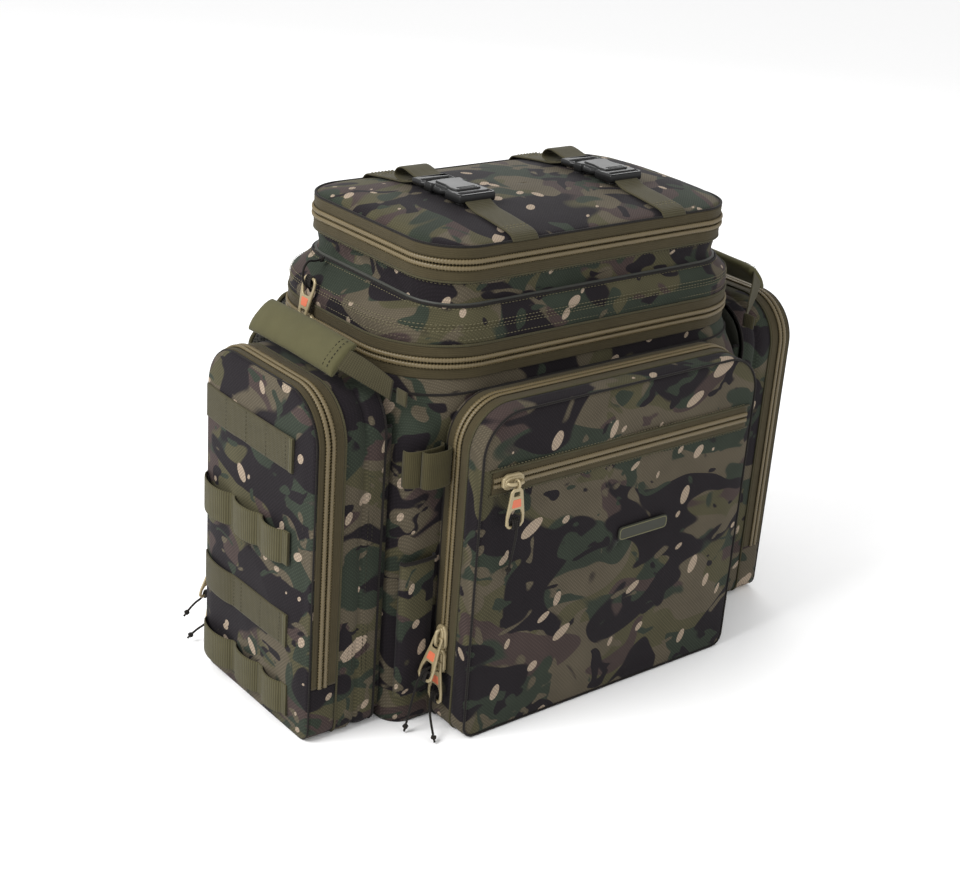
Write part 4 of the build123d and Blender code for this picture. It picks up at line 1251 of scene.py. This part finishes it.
def make_buckles():
    sockets = []
    for name, side in (("right", 1), ("left", -1)):
        parts, arms = buckle(side)
        sockets += parts
        arms.name = name + "_plug_moulding"
        put(arms, name + "_plug", "black_plastic", name + "_buckle_plug")
    put(join("socket_mouldings", sockets), "top_flap", "black_plastic", "buckle_sockets")


make_buckles()


def turned(origin, along, out):
    """Local X along, local Z out, at an origin in millimetres."""
    along, out = Vector(along).normalized(), Vector(out).normalized()
    return Matrix.Translation(origin) @ Matrix((along, out.cross(along), out)).transposed().to_4x4()


def slider(name, origin, chain, out):
    """A slider's body, pointed where it parts the teeth, and the arched bridge over it."""
    turn = turned(origin, chain, out)
    foot = rounded([(-13, -4), (-8, -8), (8, -7.6), (13, -4), (13, 4), (8, 7.6), (-8, 8), (-13, 4)], 3.5)
    crown = rounded([(-11, -2.5), (-7, -5.4), (8, -5), (11, -2), (11, 2), (8, 5), (-7, 5.4), (-11, 2.5)], 3)
    parts = [plate("body", [foot], 4.4, 1.5, METAL, turn @ Matrix.Translation((0, 0, 3.0))),
             plate("boss", [crown], 2.4, 1.1, METAL, turn @ Matrix.Translation((0, 0, 5.4)))]
    arch = both_sides([(-9, 4.5), (-8.8, 7.4), (-7, 9.8), (-4, 10.7)])
    arch.insert(4, (0, 10.9))
    parts.append(rod("bridge", [turn @ Vector((x, 0, z)) for x, z in arch], 1.9, METAL, 10))
    put(join(name + "_slider_cast", parts), name + "_slider", "zip_metal", name + "_slider")


def pull(name, pivot, along, out, forked):
    """A pull: a fork or a ring at its pivot, a coloured inlay, and a wide open end for the cord."""
    turn = turned(pivot, along, out)
    wide = [(33, 11), (42, 11), (46, 7.5), (46, -7.5), (42, -11), (33, -11)]
    eye = rounded([(27, -5.4), (35, -8.2), (43.4, -7.6), (43.4, 7.6), (35, 8.2), (27, 5.4)], 4)
    if forked:
        outline = [(-1.2, -7.1), (-1.2, 7.1), (11, 7.6)] + wide + [(11, -7.6)]
        holes = [rounded([(1.2, -4.7), (11.5, -4.9), (11.5, 4.9), (1.2, 4.7)], 1.6), eye]
        parts = []
    else:
        outline = [(4, -3.4), (4, 3.4), (8, 7.2)] + wide + [(8, -7.2)]
        holes = [rounded([(8.4, -3.4), (13, -4), (13, 4), (8.4, 3.4)], 1.4), eye]
        parts = [rod("ring", [turn @ Vector((3.7 * math.cos(a), 0, 3.7 * math.sin(a)))
                              for a in (2 * math.pi * k / 20 for k in range(20))], 1.25, METAL, 8, closed=True)]
    parts.insert(0, plate("tab", [rounded(outline[::-1], 2.4)] + holes, 2.4, 0.85, METAL, turn))
    inlay = rounded([(16, -4.6), (24.6, -5.8), (24.6, 5.8), (16, 4.6)], 1.2)
    parts.append(plate("inlay", [inlay], 1.0, 0.35, MARK, turn @ Matrix.Translation((0, 0, 1.05))))
    put(join(name + "_pull_cast", parts), name + "_pull", "zip_metal", name + "_pull")


def make_zip_hardware():
    slider("face", (-150, FACE - 1.4, FACE_SEAM), X_WAY, -Y_WAY)
    slider("lid", (-230.5, 30, LID_SEAM), Y_WAY, -X_WAY)
    slider("tray", (197.5, 48, TRAY_SEAM), Y_WAY, X_WAY)
    for which, height in (("_upper", 102), ("_lower", 75.5)):
        slider("front" + which, (-185.5, -160, height), Z_WAY, -X_WAY)
        slider("right" + which, (SIDE_SEAM, 76.5, height), Z_WAY, Y_WAY)
        slider("left" + which, (-SIDE_SEAM, 76.5, height), Z_WAY, Y_WAY)
    for name, placing in PULLS.items():
        pull(name, *placing)


make_zip_hardware()


for lock in ("left_ladder_lock", "right_ladder_lock"):
    repaint(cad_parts[lock].data, PLASTIC)

# ------------------------------------------------------------------ floor and light


WORLD_LIGHT = 0.94
LAMPS = (("key", (-2.4, 0.1, 2.2), 1.4, 84), ("fill", (0.4, -2.8, 1.4), 2.0, 6), ("rim", (1.6, 1.8, 1.9), 1.5, 16))
LIT_POINT = Vector((0, 0, 0.25))


def make_studio():
    mesh = bpy.data.meshes.new("floor")
    low = -0.0005
    mesh.from_pydata([(-6, -6, low), (6, -6, low), (6, 8, low), (-6, 8, low)], [], [(0, 1, 2, 3)])
    floor = bpy.data.objects.new("floor", mesh)
    scene.collection.objects.link(floor)
    mesh.materials.append(grained("floor_paint", (0.97, 0.97, 0.97, 1), 0.7, 40.0, 0.02 * MM, 0.01, specular=0.2))
    world = bpy.data.worlds.new("studio")
    world.use_nodes = True
    background = world.node_tree.nodes["Background"]
    background.inputs[0].default_value = (1, 1, 1, 1)
    background.inputs[1].default_value = WORLD_LIGHT
    scene.world = world
    for name, place, size, power in LAMPS:
        lamp = bpy.data.objects.new(name, bpy.data.lights.new(name, "AREA"))
        lamp.data.size, lamp.data.energy = size, power
        lamp.location = place
        lamp.rotation_mode = "QUATERNION"
        lamp.rotation_quaternion = (LIT_POINT - Vector(place)).to_track_quat("-Z", "Y")
        scene.collection.objects.link(lamp)
    scene.view_settings.view_transform = "Standard"


make_studio()
